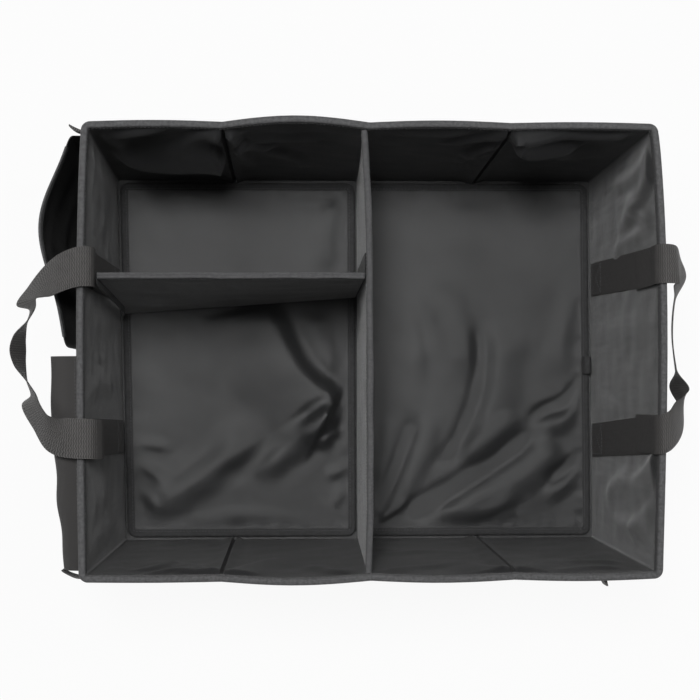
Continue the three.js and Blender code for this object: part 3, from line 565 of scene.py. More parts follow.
def hook_pile():
    finish = Finish("hook_tape_pile", specular_ior_level=0.3, sheen_weight=0.2)
    pile = finish.noise(1600, detail=1)
    cloud = finish.noise(80, detail=2)
    color = finish.blend(pile * 0.6 + cloud * 0.4, (0.006, 0.006, 0.0065), (0.022, 0.022, 0.023))
    return finish.surface(color, cloud * 0.1 + 0.75, pile * 0.5)


def stitching_thread():
    finish = Finish("stitching_thread", specular_ior_level=0.5, sheen_weight=0.1)
    fibre = finish.noise(4000, detail=1)
    color = finish.blend(fibre, (0.06, 0.06, 0.062), (0.16, 0.16, 0.165))
    return finish.surface(color, fibre * 0.1 + 0.45, fibre * 0.1)


def dark_board():
    finish = Finish("stiff_board_card", specular_ior_level=0.3)
    fibre = finish.noise(700, detail=3)
    cloud = finish.noise(20, detail=3)
    color = finish.blend(fibre * 0.5 + cloud * 0.5, (0.020, 0.020, 0.019), (0.045, 0.044, 0.042))
    return finish.surface(color, fibre * 0.1 + 0.85, fibre * 0.15)


# The rim tape's dark colour also serves as the painted shade over its inner edge, from 17 mm across.
rim_tape = ribbed_tape("rim_binding_tape", (0.014, 0.014, 0.0144), (0.16, 0.16, 0.164), 0.15, 17.0)
binding_tape = ribbed_tape("ribbed_binding_tape", (0.036, 0.036, 0.037), (0.13, 0.13, 0.134), 0.15)
pad_edge_tape = ribbed_tape("dark_pad_tape", (0.014, 0.014, 0.0144), (0.072, 0.072, 0.074), 0.1)
webbing = woven_webbing()
hook_tape = hook_pile()
thread = stitching_thread()
board = dark_board()
print("seven narrow finishes made")

# %% [markdown]
# ## Stiff boards
# The boards keep their packed form, because they are flat card and only their finish was missing. Those of
# the two dividers are made again further down, where they bend like their faces.

# %% Boards
board_nodes = [name for name in frame["nodes"] if "board" in name]
for name in board_nodes:
    node = frame["nodes"][name]
    node.data.materials.clear()
    node.data.materials.append(board)
print(len(board_nodes), "boards finished")

# %% [markdown]
# ## Stitches
# A seam has hundreds of stitches, so Geometry Nodes place them: a seam line becomes a curve, the curve is
# cut into even steps, and each step gets one short thread that lies along it. Placing them by hand would
# be slow, and stitches that are only a height in the finish look flat beside a tape.


# %% Stitch tree
def stitch_tree():
    tree = bpy.data.node_groups.new("stitches_along_lines", "GeometryNodeTree")
    face = tree.interface
    face.new_socket("Geometry", in_out="INPUT", socket_type="NodeSocketGeometry")
    for label, usual in (("Pitch", 0.003), ("Length", 0.0022), ("Thickness", 0.0005)):
        face.new_socket(label, in_out="INPUT", socket_type="NodeSocketFloat").default_value = usual
    face.new_socket("Thread", in_out="INPUT", socket_type="NodeSocketMaterial")
    face.new_socket("Geometry", in_out="OUTPUT", socket_type="NodeSocketGeometry")

    def add(kind, sockets, **settings):
        made = tree.nodes.new(kind)
        for key, setting in settings.items():
            setattr(made, key, setting)
        for key, given in sockets.items():
            if isinstance(given, bpy.types.NodeSocket):
                tree.links.new(given, made.inputs[key])
            else:
                made.inputs[key].default_value = given
        return made.outputs

    given = add("NodeGroupInput", {})
    curve = add("GeometryNodeMeshToCurve", {"Mesh": given["Geometry"]})
    even = add("GeometryNodeResampleCurve", {"Curve": curve[0], "Length": given["Pitch"]}, mode="LENGTH")
    tangent = add("GeometryNodeInputTangent", {})
    turn = add("FunctionNodeAlignRotationToVector", {"Vector": tangent[0]}, axis="X")
    bead = add("GeometryNodeMeshUVSphere", {"Segments": 6, "Rings": 4, "Radius": 0.5})
    size = add("ShaderNodeCombineXYZ", {0: given["Length"], 1: given["Thickness"], 2: given["Thickness"]})
    stretched = add("GeometryNodeTransform", {"Geometry": bead[0], "Scale": size[0]})
    placed = add("GeometryNodeInstanceOnPoints",
                 {"Points": even[0], "Instance": stretched[0], "Rotation": turn[0]})
    real = add("GeometryNodeRealizeInstances", {"Geometry": placed[0]})
    threaded = add("GeometryNodeSetMaterial", {"Geometry": real[0], "Material": given["Thread"]})
    add("NodeGroupOutput", {0: threaded[0]})
    return tree


STITCHES = stitch_tree()
seam_lines = {}


def seam(body, line):
    """Keeps a line of points in millimetres, on which a body's stitches will lie."""
    seam_lines.setdefault(body, []).append(np.asarray(line, float))


STITCH = {"Pitch": 3.6, "Length": 2.7, "Thickness": 0.75}


def sew(body):
    """Makes all stitches of a body as one plain mesh."""
    lines = seam_lines[body]
    starts = np.cumsum([0] + [len(line) for line in lines])
    edges = [(s + k, s + k + 1) for s, line in zip(starts, lines) for k in range(len(line) - 1)]
    mesh = bpy.data.meshes.new(f"{body}_seam_lines")
    mesh.from_pydata((np.concatenate(lines) * MM).tolist(), edges, [])
    lines_object = bpy.data.objects.new(f"{body}_seam_lines", mesh)
    bpy.context.scene.collection.objects.link(lines_object)
    modifier = lines_object.modifiers.new("stitches", "NODES")
    modifier.node_group = STITCHES
    inputs = {item.name: item.identifier for item in STITCHES.interface.items_tree if item.in_out == "INPUT"}
    for label, size in STITCH.items():
        modifier[inputs[label]] = size * MM
    modifier[inputs["Thread"]] = thread
    evaluated = lines_object.evaluated_get(bpy.context.evaluated_depsgraph_get())
    sewn = bpy.data.objects.new(f"{body}_stitches", bpy.data.meshes.new_from_object(evaluated))
    bpy.data.objects.remove(lines_object)
    bpy.context.scene.collection.objects.link(sewn)
    sewn.data.polygons.foreach_set("use_smooth", np.ones(len(sewn.data.polygons), bool))
    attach(sewn, body)
    print(f"{body}: {len(sewn.data.polygons) // 24} stitches")


print("stitch tree has", len(STITCHES.nodes), "nodes")

# %% [markdown]
# ## Walls
# The lining is sewn only at the rim, the corners and the foot, so it hangs a little loose before its boards
# and folds where the walls are made to fold. Each wall has its own list of folds, drawn from the rim down.
# The creases are narrow pleats: a sharp furrow beside a thin raised edge. Noise alone would crumple the
# cloth evenly, while real folds start at the seams that pull on them.

# %% Folds of the lining
WALL_FOLDS = {
    "back": [
        ([(-149, 276), (-180, 228), (-216, 160)], 6, 40, 16, 0.04, 0.4),
        ([(-152, 276), (-190, 262), (-240, 222)], -5, 14, 12, 0.1, 0.4),
        ([(-196, 276), (-226, 262), (-262, 236)], 6, 18, 14, 0.1, 0.3),
        ([(-138, 268), (-130, 190), (-120, 71)], 6, 9, 24, 0.05, 0.4),
        ([(-130, 240), (-84, 214), (-26, 226)], 5, 20, 14),
        ([(-108, 180), (-76, 130), (-60, 70)], 4, 16, 24),
        ([(139, 276), (181, 264), (231, 254), (262, 268)], 6.5, 9, 14, 0.08, 0.2),
        ([(141, 272), (160, 232), (200, 182), (236, 120)], 12, 46, 18, 0.08, 0.4),
        ([(132, 240), (118, 196), (100, 140)], 6, 14, 9),
        ([(128, 190), (112, 150), (104, 100)], 4, 14, 9),
        ([(132, 264), (112, 240), (70, 200)], 5, 16, 12),
        ([(16, 262), (60, 246), (104, 262)], 3, 16, 16),
        ([(-265, 266), (-250, 200), (-256, 110)], 5, 16, 20),
        ([(-144, 160), (-200, 150), (-262, 190)], 20, 24, 78, 0.04, 0.25),
        ([(143, 238), (182, 226), (226, 222)], 9, 36, 12, 0.06, 0.3),
        ([(-134, 214), (-112, 190), (-86, 184)], 7, 34, 12, 0.1, 0.4),
    ],
    "front": [
        ([(-148, 276), (-180, 226), (-224, 170)], 8, 16, 44, 0.04, 0.4),
        ([(-138, 276), (-112, 206), (-80, 140)], 8, 36, 14, 0.04, 0.4),
        ([(-222, 270), (-196, 250), (-170, 262)], 4, 12, 10),
        ([(-240, 250), (-206, 226), (-190, 180)], 4, 12, 16),
        ([(140, 276), (168, 226), (210, 166)], 8, 36, 16, 0.04, 0.4),
        ([(130, 276), (104, 222), (66, 170)], 7, 16, 40, 0.04, 0.4),
        ([(176, 266), (214, 240), (260, 252)], 5, 13, 13),
        ([(196, 210), (230, 196), (262, 216)], 4, 16, 13),
        ([(10, 268), (40, 230), (90, 206)], 5, 16, 16),
        ([(-12, 268), (-40, 240), (-64, 190)], 5, 16, 16),
        ([(20, 140), (60, 110), (116, 122)], 3, 18, 18),
    ],
    "left": [
        ([(186, 266), (178, 180), (172, 70)], 6, 26, 28, 0.2, 0.4),
        ([(164, 270), (154, 190), (150, 80)], 5, 20, 28, 0.2, 0.4),
        ([(136, 266), (128, 200), (136, 110)], 4, 22, 26, 0.3, 0.4),
        ([(112, 256), (106, 180), (114, 80)], 1.75, 12, 12),
        ([(40, 262), (30, 180), (36, 80)], 1.25, 22, 22),
        ([(-44, 266), (-30, 180), (-38, 70)], 3.5, 20, 18),
        ([(-122, 268), (-130, 190), (-122, 90)], 4.5, 24, 30, 0.3, 0.4),
        ([(-160, 268), (-150, 200), (-164, 110)], 5, 28, 24, 0.3, 0.4),
        ([(-190, 268), (-180, 170), (-186, 70)], 5, 24, 28, 0.3, 0.4),
    ],
    "right": [
        ([(178, 272), (150, 206), (132, 120)], 8, 36, 16, 0.06, 0.35),
        ([(122, 268), (140, 226), (166, 170)], 5, 14, 16),
        ([(194, 264), (182, 190), (188, 100)], 5, 14, 14),
        ([(116, 250), (120, 170), (110, 90)], 4, 14, 18),
        ([(-104, 268), (-130, 210), (-136, 120)], 7, 14, 38, 0.06, 0.35),
        ([(-122, 190), (-142, 120), (-166, 66)], 6, 18, 26),
        ([(-150, 272), (-168, 220), (-192, 160)], 5.5, 13, 26),
        ([(-192, 256), (-180, 180), (-192, 100)], 4, 14, 14),
        ([(24, 266), (30, 180), (16, 80)], 2, 34, 34),
        ([(-50, 266), (-40, 180), (-54, 80)], 2, 34, 34),
    ],
}
CREASES = {wall: (CREASE_LEFT, CREASE_RIGHT) if is_long(wall) else () for wall in WALLS}
RELIEF = {"back": 1.1, "front": 0.6, "left": 0.6, "right": 0.7}
WALL_SEEDS = {"back": 3, "right": 5, "front": 7, "left": 11}
PLEAT_RISE, PLEAT_START, PLEAT_FLANKS = 4.6, 2.2, (17, 11)
FURROW_DEPTH, FURROW_HALF = 1.8, 1.3


def lining_relief(wall, place, z):
    """How far the lining stands in from its resting face."""
    loose = smooth(WALL_TOP - z, 2, 16) * smooth(z - WALL_FOOT, 2, 22)
    loose = loose * smooth(straight_half(wall) - np.abs(place), 0, 12)
    relief = RELIEF[wall] * fold_heights(place, z, WALL_FOLDS[wall])
    relief += 0.35 * ripples(place, z, 46, WALL_SEEDS[wall])
    pleat = np.zeros(place.shape)
    for crease in CREASES[wall]:
        off = place - crease
        loose = loose * smooth(np.abs(off), 0, 9)
        lip = np.clip(1 - (np.abs(off) - PLEAT_START) / np.where(off < 0, *PLEAT_FLANKS), 0, 1)
        lip = lip * smooth(np.abs(off), 0.6, 2.4)
        pleat += PLEAT_RISE * lip**1.5 * np.where(off < 0, 1, 0.8)
        pleat -= FURROW_DEPTH * np.exp(-((off / FURROW_HALF) ** 2))
    return np.maximum(0, relief + 0.4) * loose + pleat * smooth(WALL_TOP - z, 0, 14)


# %% Folds of the outer cloth
OUTER_FOLDS = {
    "back": [
        ([(-143, 262), (-160, 190), (-200, 130)], 2, 18, 8),
        ([(136, 260), (120, 180), (90, 120)], 2, 8, 18),
    ],
    "front": [
        ([(-143, 262), (-120, 190), (-90, 130)], 2, 18, 8),
        ([(136, 260), (156, 190), (196, 130)], 2, 8, 18),
    ],
    "left": [],
    "right": [
        ([(150, 262), (130, 190), (140, 110)], 1.6, 12, 12),
        ([(-160, 262), (-140, 180), (-150, 90)], 1.6, 12, 12),
    ],
}


def outer_relief(wall, place, z):
    """How far the outer cloth stands in: less than nothing where it puffs out, more at the creases."""
    loose = smooth(WALL_TOP - z, 4, 24) * smooth(z, 4, 24) * smooth(straight_half(wall) - np.abs(place), 0, 20)
    puff = fold_heights(place, z, OUTER_FOLDS[wall]) + 0.3 * ripples(place, z, 60, WALL_SEEDS[wall] + 1)
    groove = sum((np.exp(-(((place - c) / 2.2) ** 2)) for c in CREASES[wall]), np.zeros(place.shape))
    return 0.8 * groove - np.maximum(0, puff + 0.3) * loose


# %% Walls
def wall_columns(wall, step, creases=()):
    """Values of q along a wall from corner to corner, closer together at its creases."""
    half = straight_half(wall)
    places = [spread(-half, half, step)] + [crease + np.linspace(-9, 9, 25) for crease in creases]
    straight = np.sort(WALL_SIGN[wall] * (np.unique(np.concatenate(places).round(3)) / half))
    turn = np.linspace(1, 2, 6)[1:]
    return np.concatenate([-turn[::-1], straight, turn])


def wall_cloth(wall, layer, finish, step, relief_of, depth, back):
    """One cloth of a wall, at a depth. Back is how much deeper its hidden face lies."""
    q, z = crossed(wall_columns(wall, step, CREASES[wall]), spread(WALL_FOOT, WALL_TOP, step))
    depth = depth + relief_of(wall, world_place(wall, q), z)
    piece = solid_sheet(f"{layer}_{wall}_cloth", wall_point(wall, q, z, depth), wall_point(wall, q, z, depth + back))
    dress(piece, finish, layer, f"{layer}_{wall}")
    rim_length(wall) * MM


for wall in WALLS:
    # The end walls take the lighter lining copy, whose paler colour is painted light.
    inner_finish = lining_cloth if is_long(wall) else painted_lit_lining
    wall_cloth(wall, "outer_cloth", outer_cloth, OUTER_STEP, outer_relief, 0, OUTER_CLOTH)
    wall_cloth(wall, "lining", inner_finish, LINING_STEP, lining_relief, WALL, -LINING)

# %% [markdown]
# ## Bottom of the box
# The walls stand on an outer cloth, and a lining lies between them. Little of either shows, but the
# underside is seen when the box is turned over. Two plain slabs would do, but the corners are round and
# the walls' feet lean, so both plates follow them.


# %% Bottom
def rounded_columns(x0, x1, half_depth, radius, step, turns):
    """Columns of a grid that fills a rounded rectangle: their places along X and how far each reaches along Y."""
    bend = radius * (1 - np.sin(np.linspace(0, math.pi / 2, turns)))
    x = np.concatenate([x0 + bend[::-1], spread(x0 + radius, x1 - radius, step)[1:-1], x1 - bend])
    to_end = np.clip(np.maximum(x0 + radius - x, x - x1 + radius), 0, radius)
    return x, half_depth - radius + np.sqrt(radius**2 - to_end**2)


def foot_plate(name, depth, z, thickness, step=9):
    """A flat plate that follows the foot of the walls."""
    half_x, half_y = FOOT_WIDTH / 2 - depth, FOOT_DEPTH / 2 - depth
    x, reach = rounded_columns(-half_x, half_x, half_y, CORNER_RADIUS - depth, step, 7)
    y = spread(-1, 1, 2 * step / FOOT_DEPTH)[None] * reach[:, None]
    x = x[:, None] + foot_shift(x[:, None], y)
    wave = 0.12 * ripples(x, y, 50, 21)
    return solid_sheet(name, xyz(x, y, z + thickness + np.minimum(wave, 0)), xyz(x, y, z))


for layer, finish, depth, z, thickness, smaller, below in (
        ("outer_cloth", outer_cloth, 0, 0, 1.2, 0, "outer_cloth_back_cloth"),
        ("lining", lining_cloth, WALL + CLEARANCE, WALL_FOOT, LINING, 10, "outer_cloth_bottom_cloth")):
    bottom = foot_plate(f"{layer}_bottom_cloth", depth, z, thickness)
    dress(bottom, finish, layer, f"{layer}_bottom")
    (FOOT_WIDTH - smaller) * MM
    (FOOT_DEPTH - smaller) * MM
print("bottom plates made")

# %% [markdown]
# ## Rim binding
# One tape is folded over the raw edges of the wall and sewn through. Its section is a rounded hood. The
# stitches pull it in at even steps, so its foot edges are slightly scalloped and its top puckers. A curve
# with this section could be bevelled, but on the wall's own places the tape also follows every bow.

# %% Rim binding
RIM_TAPE, RIM_TAPE_DEPTH = 0.7, 10
HOOD_ROUND, PUCKER_STEP = 2.2, 3.2


def puckers(along, even, uneven, wavelength, seed):
    """How a seam pulls a tape in: evenly from stitch to stitch, and unevenly over longer stretches."""
    return even * np.sin(2 * np.pi * along / PUCKER_STEP) + uneven * ripples(along, 0 * along, wavelength, seed)


def hood_section(near, far, foot, top, tape, groove=0.0):
    """The section of a tape folded over an edge, as rows of depths and heights: its outside, then its inside."""
    rows = []
    for gap in (tape, 0):
        left, right = near - CLEARANCE - gap, far + CLEARANCE + gap
        middle, half = (left + right) / 2, (right - left) / 2
        shoulder = top - tape + gap - HOOD_ROUND
        angle = np.linspace(math.pi, 0, 13)
        arch_x = middle + half * np.sign(np.cos(angle)) * np.abs(np.cos(angle)) ** 0.8
        arch_z = shoulder + HOOD_ROUND * np.sin(angle) ** 0.8
        arch_z = arch_z - groove * np.exp(-(((arch_x - middle) / (0.3 * half)) ** 2))
        legs = np.linspace(foot, shoulder, 6)[:-1]
        rows.append((np.concatenate([np.full(5, left), arch_x, np.full(5, right)])[None],
                     np.concatenate([legs, arch_z, legs[::-1]])[None]))
    return rows


def rim_binding():
    sections = hood_section(0, WALL, HEIGHT - RIM_TAPE_DEPTH, HEIGHT, RIM_TAPE)
    grids = [[], []]
    run = 0.0
    for wall in WALLS:
        q = wall_columns(wall, 2.6, CREASES[wall])
        place = q * straight_half(wall)
        along = run + place - place[0]
        run = along[-1]
        pucker = puckers(along, 0.16, 0.28, 14, 31)[:, None]
        hem = 0.5 * ripples(along, 0 * along, 22, 37)[:, None]
        for grid, (depth, z) in zip(grids, sections):
            leg = smooth(HEIGHT - z, 2, RIM_TAPE_DEPTH)
            side = np.where(depth < WALL / 2, 1, -1)
            grid.append(wall_point(wall, q[:, None], z + (1 - leg) * 0.3 * pucker + hem * leg**3,
                                   depth - side * 0.12 * leg * pucker))
    return solid_sheet("rim_binding_tape", *(np.concatenate(grid) for grid in grids), wrapped=True)


dress(rim_binding(), rim_tape, "binding_tape", "rim_binding")
for wall in WALLS:
    q = wall_columns(wall, 4)
    for depth in (-CLEARANCE - RIM_TAPE - 0.1, WALL + CLEARANCE + RIM_TAPE + 0.1):
        seam("box", wall_point(wall, q, HEIGHT - 5.6, depth))
print("rim binding made")

# %% [markdown]
# ## Base pads
# Each base pad is a board in a loose satin cover, bound with tape round its edge. The cover is longer than
# the board, so it lies in long slanting folds, and its edge is gathered by the seam. The folds are drawn
# over each pad, in the places where the light shows them. Sculpting would do as well, but a list of
# folds can be measured, changed and made again.

# %% Pad sizes and folds
PAD_SEAT, PAD_UNDER, PAD_REST = 2.4, 3.3, 7.7
PAD_TOP, PAD_TAPE_WIDTH, PAD_CORNER = 8.6, 9, 10
PAD_HALF_DEPTH = float(inside_wall("back", 0, PAD_SEAT, 4)[1])
DIVIDER_HALF = 2.1
left_end = [float(inside_wall("left", y, PAD_SEAT, 3)[0]) for y in (-100, 0, 100)]
right_end = float(inside_wall("right", 0, PAD_SEAT, 3)[0])
PAD_GAP = 1.9
PADS = {
    "left": {"x": (left_end[1], DIVIDER_X - DIVIDER_HALF - PAD_GAP), "seed": 41,
             "slope": (left_end[2] - left_end[0]) / 200},
    "right": {"x": (DIVIDER_X + DIVIDER_HALF + PAD_GAP, right_end), "seed": 43, "slope": 0},
}
CROSS_LEFT_Y, CROSS_RIGHT_Y = (54, 75), (73, 79)
PADS["left"]["folds"] = [
    ([(-112, 70), (-105, 44), (-91, 14), (-75, -14), (-49, -38), (-24, -52)], 13, 27, 90, 0.1, 0.06),
    ([(-22, -50), (-38, -82), (-53, -107)], 6, 18, 34, 0.1, 0.3),
    ([(-28, -62), (-71, -92), (-101, -115), (-128, -142)], 7, 26, 24, 0.08, 0.35),
    ([(-62, -84), (-111, -110), (-141, -126), (-176, -148)], -2.4, 18, 16, 0.2, 0.3),
    ([(-98, -76), (-151, -113), (-178, -133), (-206, -151), (-254, -187)], 5.5, 30, 42, 0.25, 0.2),
    ([(-151, -84), (-182, -110), (-210, -131), (-236, -144)], -2, 20, 20),
    ([(-34, -46), (-58, -62), (-82, -80)], -3.4, 11, 13, 0.1, 0.5),
    ([(-16, -72), (-40, -86), (-62, -98)], -3, 7, 9, 0.1, 0.4),
    ([(-60, 60), (-50, 24), (-36, 0), (-8, -10)], 4.4, 28, 24, 0.2, 0.1),
    ([(-8, -96), (-24, -88), (-42, -78)], 2.6, 8, 10, 0.05, 0.4),
    ([(-8, -118), (-24, -130), (-44, -136)], 3.2, 10, 12, 0.05, 0.4),
    ([(-8, -140), (-22, -156), (-31, -176)], 3.2, 10, 12, 0.05, 0.4),
    ([(-266, -96), (-240, -99), (-212, -104)], 2, 12, 10, 0.05, 0.4),
    ([(-266, -118), (-244, -128), (-220, -146)], 2.4, 12, 10, 0.05, 0.4),
    ([(-266, -146), (-246, -160), (-232, -178)], 2.2, 11, 11, 0.05, 0.4),
    ([(-210, -198), (-130, -184), (-60, -196)], 1.8, 18, 14),
    ([(-26, 190), (-38, 146), (-50, 100)], 3.2, 34, 24, 0.2, 0.25),
    ([(-110, 150), (-150, 120), (-190, 96)], 1.6, 44, 40),
    ([(-230, 40), (-190, 10), (-150, -10)], 1.6, 46, 46),
]
PADS["right"]["folds"] = [
    ([(86, 100), (105, 50), (116, 10), (112, -40)], 3.4, 32, 28),
    ([(56, 90), (74, 40), (82, 0), (76, -46)], -2, 26, 22),
    ([(44, 80), (58, 30), (62, -20), (50, -70)], 1.6, 22, 24),
    ([(134, 70), (141, 10), (134, -45), (112, -98), (80, -136)], -3.6, 22, 18, 0.25, 0.2),
    ([(158, 50), (164, -14), (150, -70), (118, -118)], 4, 36, 26, 0.25, 0.2),
    ([(64, -56), (48, -113), (28, -159), (12, -190)], -3.6, 18, 15, 0.2, 0.05),
    ([(86, -50), (70, -108), (46, -154), (20, -192)], 3.8, 20, 24, 0.25, 0.1),
    ([(30, -60), (26, -110), (14, -150)], 2.2, 14, 16),
    ([(22, 30), (19, -26), (18, -70), (12, -120)], -1.8, 12, 10),
    ([(222, -72), (170, -110), (129, -138), (97, -160), (48, -186)], -5.2, 20, 24, 0.2, 0.1),
    ([(236, -96), (192, -134), (138, -166), (88, -194)], 5.4, 28, 30, 0.15, 0.15),
    ([(190, -62), (150, -92), (110, -124)], 3.2, 30, 20, 0.3, 0.3),
    ([(58, -160), (34, -178), (10, -197)], 3.6, 6, 8, 0.3, 0.05),
    ([(46, -176), (30, -189), (14, -202)], -2.4, 5, 6, 0.3, 0.05),
    ([(186, -152), (149, -180), (90, -201)], 3, 14, 16),
    ([(182, -174), (160, -190), (146, -204)], 2.4, 10, 10),
    ([(264, -18), (238, -50), (214, -60), (186, -76)], -4, 14, 12, 0.05, 0.35),
    ([(264, -38), (244, -68), (220, -78), (192, -98)], 3.4, 20, 15, 0.05, 0.35),
    ([(264, -108), (236, -128), (210, -144)], -3.4, 13, 12, 0.05, 0.35),
    ([(264, -128), (238, -146), (208, -166)], 3, 15, 13, 0.05, 0.35),
    ([(200, 120), (190, 50), (186, -10)], 1.8, 50, 44),
    ([(264, 80), (238, 30), (226, -24)], 2.2, 30, 24, 0.1, 0.3),
    ([(150, 190), (130, 150), (120, 110)], 1.4, 44, 44),
]


def cross_foot_y(x):
    """Where the cross divider stands on the left pad."""
    x0, x1 = PADS["left"]["x"]
    return CROSS_LEFT_Y[0] + (CROSS_RIGHT_Y[0] - CROSS_LEFT_Y[0]) * ((x - x0) / (x1 - x0))


def pad_heights(side, x, y):
    """Height of a pad's cover: a low crown, its folds, and gathers at the bound edge."""
    pad = PADS[side]
    x0, x1 = pad["x"]
    to_side = np.minimum(x - x0 - pad["slope"] * y, x1 - x)
    to_end = PAD_HALF_DEPTH - np.abs(y)
    to_edge = np.minimum(to_side, to_end)
    inner = smooth(to_edge, PAD_TAPE_WIDTH - 1, 34)
    swell = 1.4 * smooth(to_edge, PAD_TAPE_WIDTH, 60)
    folds = fold_heights(x, y, pad["folds"]) + 0.3 * ripples(x, y, 60, pad["seed"])
    along = np.where(to_side < to_end, y, x)
    gather = ripples(along, 0 * along, 17, pad["seed"] + 1) * np.exp(-((to_edge - PAD_TAPE_WIDTH) / 9) ** 2)
    rise = swell + folds * inner + 0.55 * gather * smooth(to_edge, 3, 9)
    if side == "left":
        off = y - cross_foot_y(x)
        free = 1 - 0.75 * np.exp(-((off / 16) ** 2))
        rise = np.where(rise > 0, rise * free, rise)
    else:
        room = 1.5 + 0.066 * np.maximum(x - x0, 0)
        rise = np.where(rise > 0, rise / (1 + (np.maximum(rise, 0) / room) ** 4) ** 0.25, rise)
    return PAD_REST + np.maximum(rise, -0.6)


# %% Pads
PAD_INSET, PAD_STEP, PAD_TAPE = 1.4, 2.6, 0.6
PAD_TAPE_PROFILE = [
    (PAD_TAPE_WIDTH, PAD_SEAT), (5, PAD_SEAT), (1.2, PAD_SEAT), (0.3, PAD_SEAT + 0.8), (0, PAD_SEAT + 2),
    (0, PAD_TOP - 2), (0.3, PAD_TOP - 0.8), (1.3, PAD_TOP), (3, PAD_TOP + 0.15), (6, PAD_TOP),
    (PAD_TAPE_WIDTH, PAD_TOP - 0.2),
]


def pad_shear(pad, x, y):
    """Moves places on a pad so that its outer edge follows the wall."""
    x0, x1 = pad["x"]
    return x + pad["slope"] * y * (x1 - x) / (x1 - x0)


def base_pad(side):
    pad = PADS[side]
    x0, x1 = pad["x"]
    x, reach = rounded_columns(x0 + PAD_INSET, x1 - PAD_INSET, PAD_HALF_DEPTH - PAD_INSET, PAD_CORNER - PAD_INSET,
                               PAD_STEP, 6)
    y = spread(-1, 1, PAD_STEP / PAD_HALF_DEPTH)[None] * reach[:, None]
    x = pad_shear(pad, x[:, None], y)
    under = PAD_UNDER + 0.2 * np.abs(ripples(x, y, 60, 47))
    piece = solid_sheet(f"{side}_base_pad", xyz(x, y, pad_heights(side, x, y)), xyz(x, y, under))
    dress(piece, lining_cloth, "lining", f"{side}_pad_cover", f"{side}_pad_underside")


def pad_outline(pad, inset, step=3.0):
    """The pad's outline as points, counter-clockwise, with rounded corners."""
    x0, x1 = pad["x"][0] + PAD_CORNER, pad["x"][1] - PAD_CORNER
    half, radius = PAD_HALF_DEPTH - PAD_CORNER, PAD_CORNER - inset
    arcs = []
    for k, (x, y) in enumerate(((x1, half), (x0, half), (x0, -half), (x1, -half))):
        angle = np.linspace(k, k + 1, 8) * math.pi / 2
        arcs.append(np.stack([x + radius * np.cos(angle), y + radius * np.sin(angle)], -1))
    runs = []
    for arc, following in zip(arcs, arcs[1:] + arcs[:1]):
        count = round(np.linalg.norm(following[0] - arc[-1]) / step) + 1
        runs += [arc, np.linspace(arc[-1], following[0], count)[1:-1]]
    x, y = np.concatenate(runs).T
    return np.stack([pad_shear(pad, x, y), y], -1)


def pad_tape(side):
    """The binding: a flat tape folded round the pad's edge, as a wrapped sheet."""
    pad = PADS[side]
    outline = pad_outline(pad, 0)
    along = np.cumsum(np.linalg.norm(np.diff(outline, axis=0, prepend=outline[-1:]), axis=1))
    wave = 0.5 * puckers(along, 0.16, 0.2, 18, pad["seed"] + 2)
    grids = [[], []]
    for inset, z in PAD_TAPE_PROFILE:
        over = z > (PAD_SEAT + PAD_TOP) / 2
        lift = wave * (smooth(inset, 1, 4) if over else 0)
        inner_z = np.clip(z - PAD_TAPE if over else z + PAD_TAPE, PAD_SEAT + PAD_TAPE, PAD_TOP - PAD_TAPE)
        for grid, reach, height in zip(grids, (inset, max(inset, PAD_TAPE)), (z, inner_z)):
            x, y = pad_outline(pad, min(reach, PAD_CORNER - 0.5)).T
            grid.append(xyz(x, y, height + lift))
    piece = solid_sheet(f"{side}_pad_binding_tape", *(np.stack(grid, 1) for grid in grids), wrapped=True, sharp=70)
    dress(piece, pad_edge_tape, "binding_tape", f"{side}_pad_binding")
    line = pad_outline(pad, 6.8)
    x, y = np.concatenate([line, line[:1]]).T
    for z in (PAD_TOP + 0.12, PAD_SEAT - 0.05):
        seam(NODE_BODY[f"{side}_pad_binding"], xyz(x, y, z))


for side in PADS:
    base_pad(side)
    pad_tape(side)
print("pads made")

# %% [markdown]
# ## Pull tab
# A short ribbon is folded double and sewn to the free edge of the right pad, so that the pad can be lifted.
# It is made along a curve, as the handles are, which keeps its width even where a bent plane would not.

# %% Pull tab
PULL_TAB_WIDTH, PULL_TAB_RISE, PULL_TAB_Y = 20, 9, -8


def ribbon(name, stops, across, width, thickness, steps, columns=9, edge=0.35):
    """A ribbon along a curve. Across gives its direction across at each stop."""
    t = np.linspace(0, 1, steps)
    middle, tangent = curve_points(stops, t)
    turn = unit(curve_points(across, t)[0])
    normal = unit(np.cross(tangent, turn))
    share = np.linspace(-0.5, 0.5, columns)
    thin = thickness / 2 * (1 - edge * np.abs(2 * share) ** 6)
    line = middle[:, None] + turn[:, None] * (share * width)[None, :, None]
    half = normal[:, None] * thin[None, :, None]
    return solid_sheet(name, line + half, line - half)


tab_x = PADS["right"]["x"][1]
tab_foot = PAD_TOP + CLEARANCE
TAB_PATH = [(-8.6, 0.5), (-8.4, 3), (-6.5, 0.8 * PULL_TAB_RISE), (-2.5, PULL_TAB_RISE),
            (0.6, 0.7 * PULL_TAB_RISE), (-0.6, 0)]
tab_stops = [(tab_x + out, PULL_TAB_Y, tab_foot + up) for out, up in TAB_PATH]
pull_tab = ribbon("pull_tab_ribbon", tab_stops, [(0, 1, 0)] * len(TAB_PATH), PULL_TAB_WIDTH, 0.8, 40)
dress(pull_tab, pad_edge_tape, "webbing", "pull_tab")
print("pull tab made")

# %% [markdown]
# ## Dividers
# Both dividers are boards between two cloth faces, hooded by tape. The main one is sewn to the walls. The
# cross divider only stands between them: it is a little twisted, and lifts straight out. Each end of it has
# a flap of hook tape, which the wall's lining holds. Plain slabs would need a twist each. Here one function
# gives the places of a divider, so its faces, board and tape share the same lean.

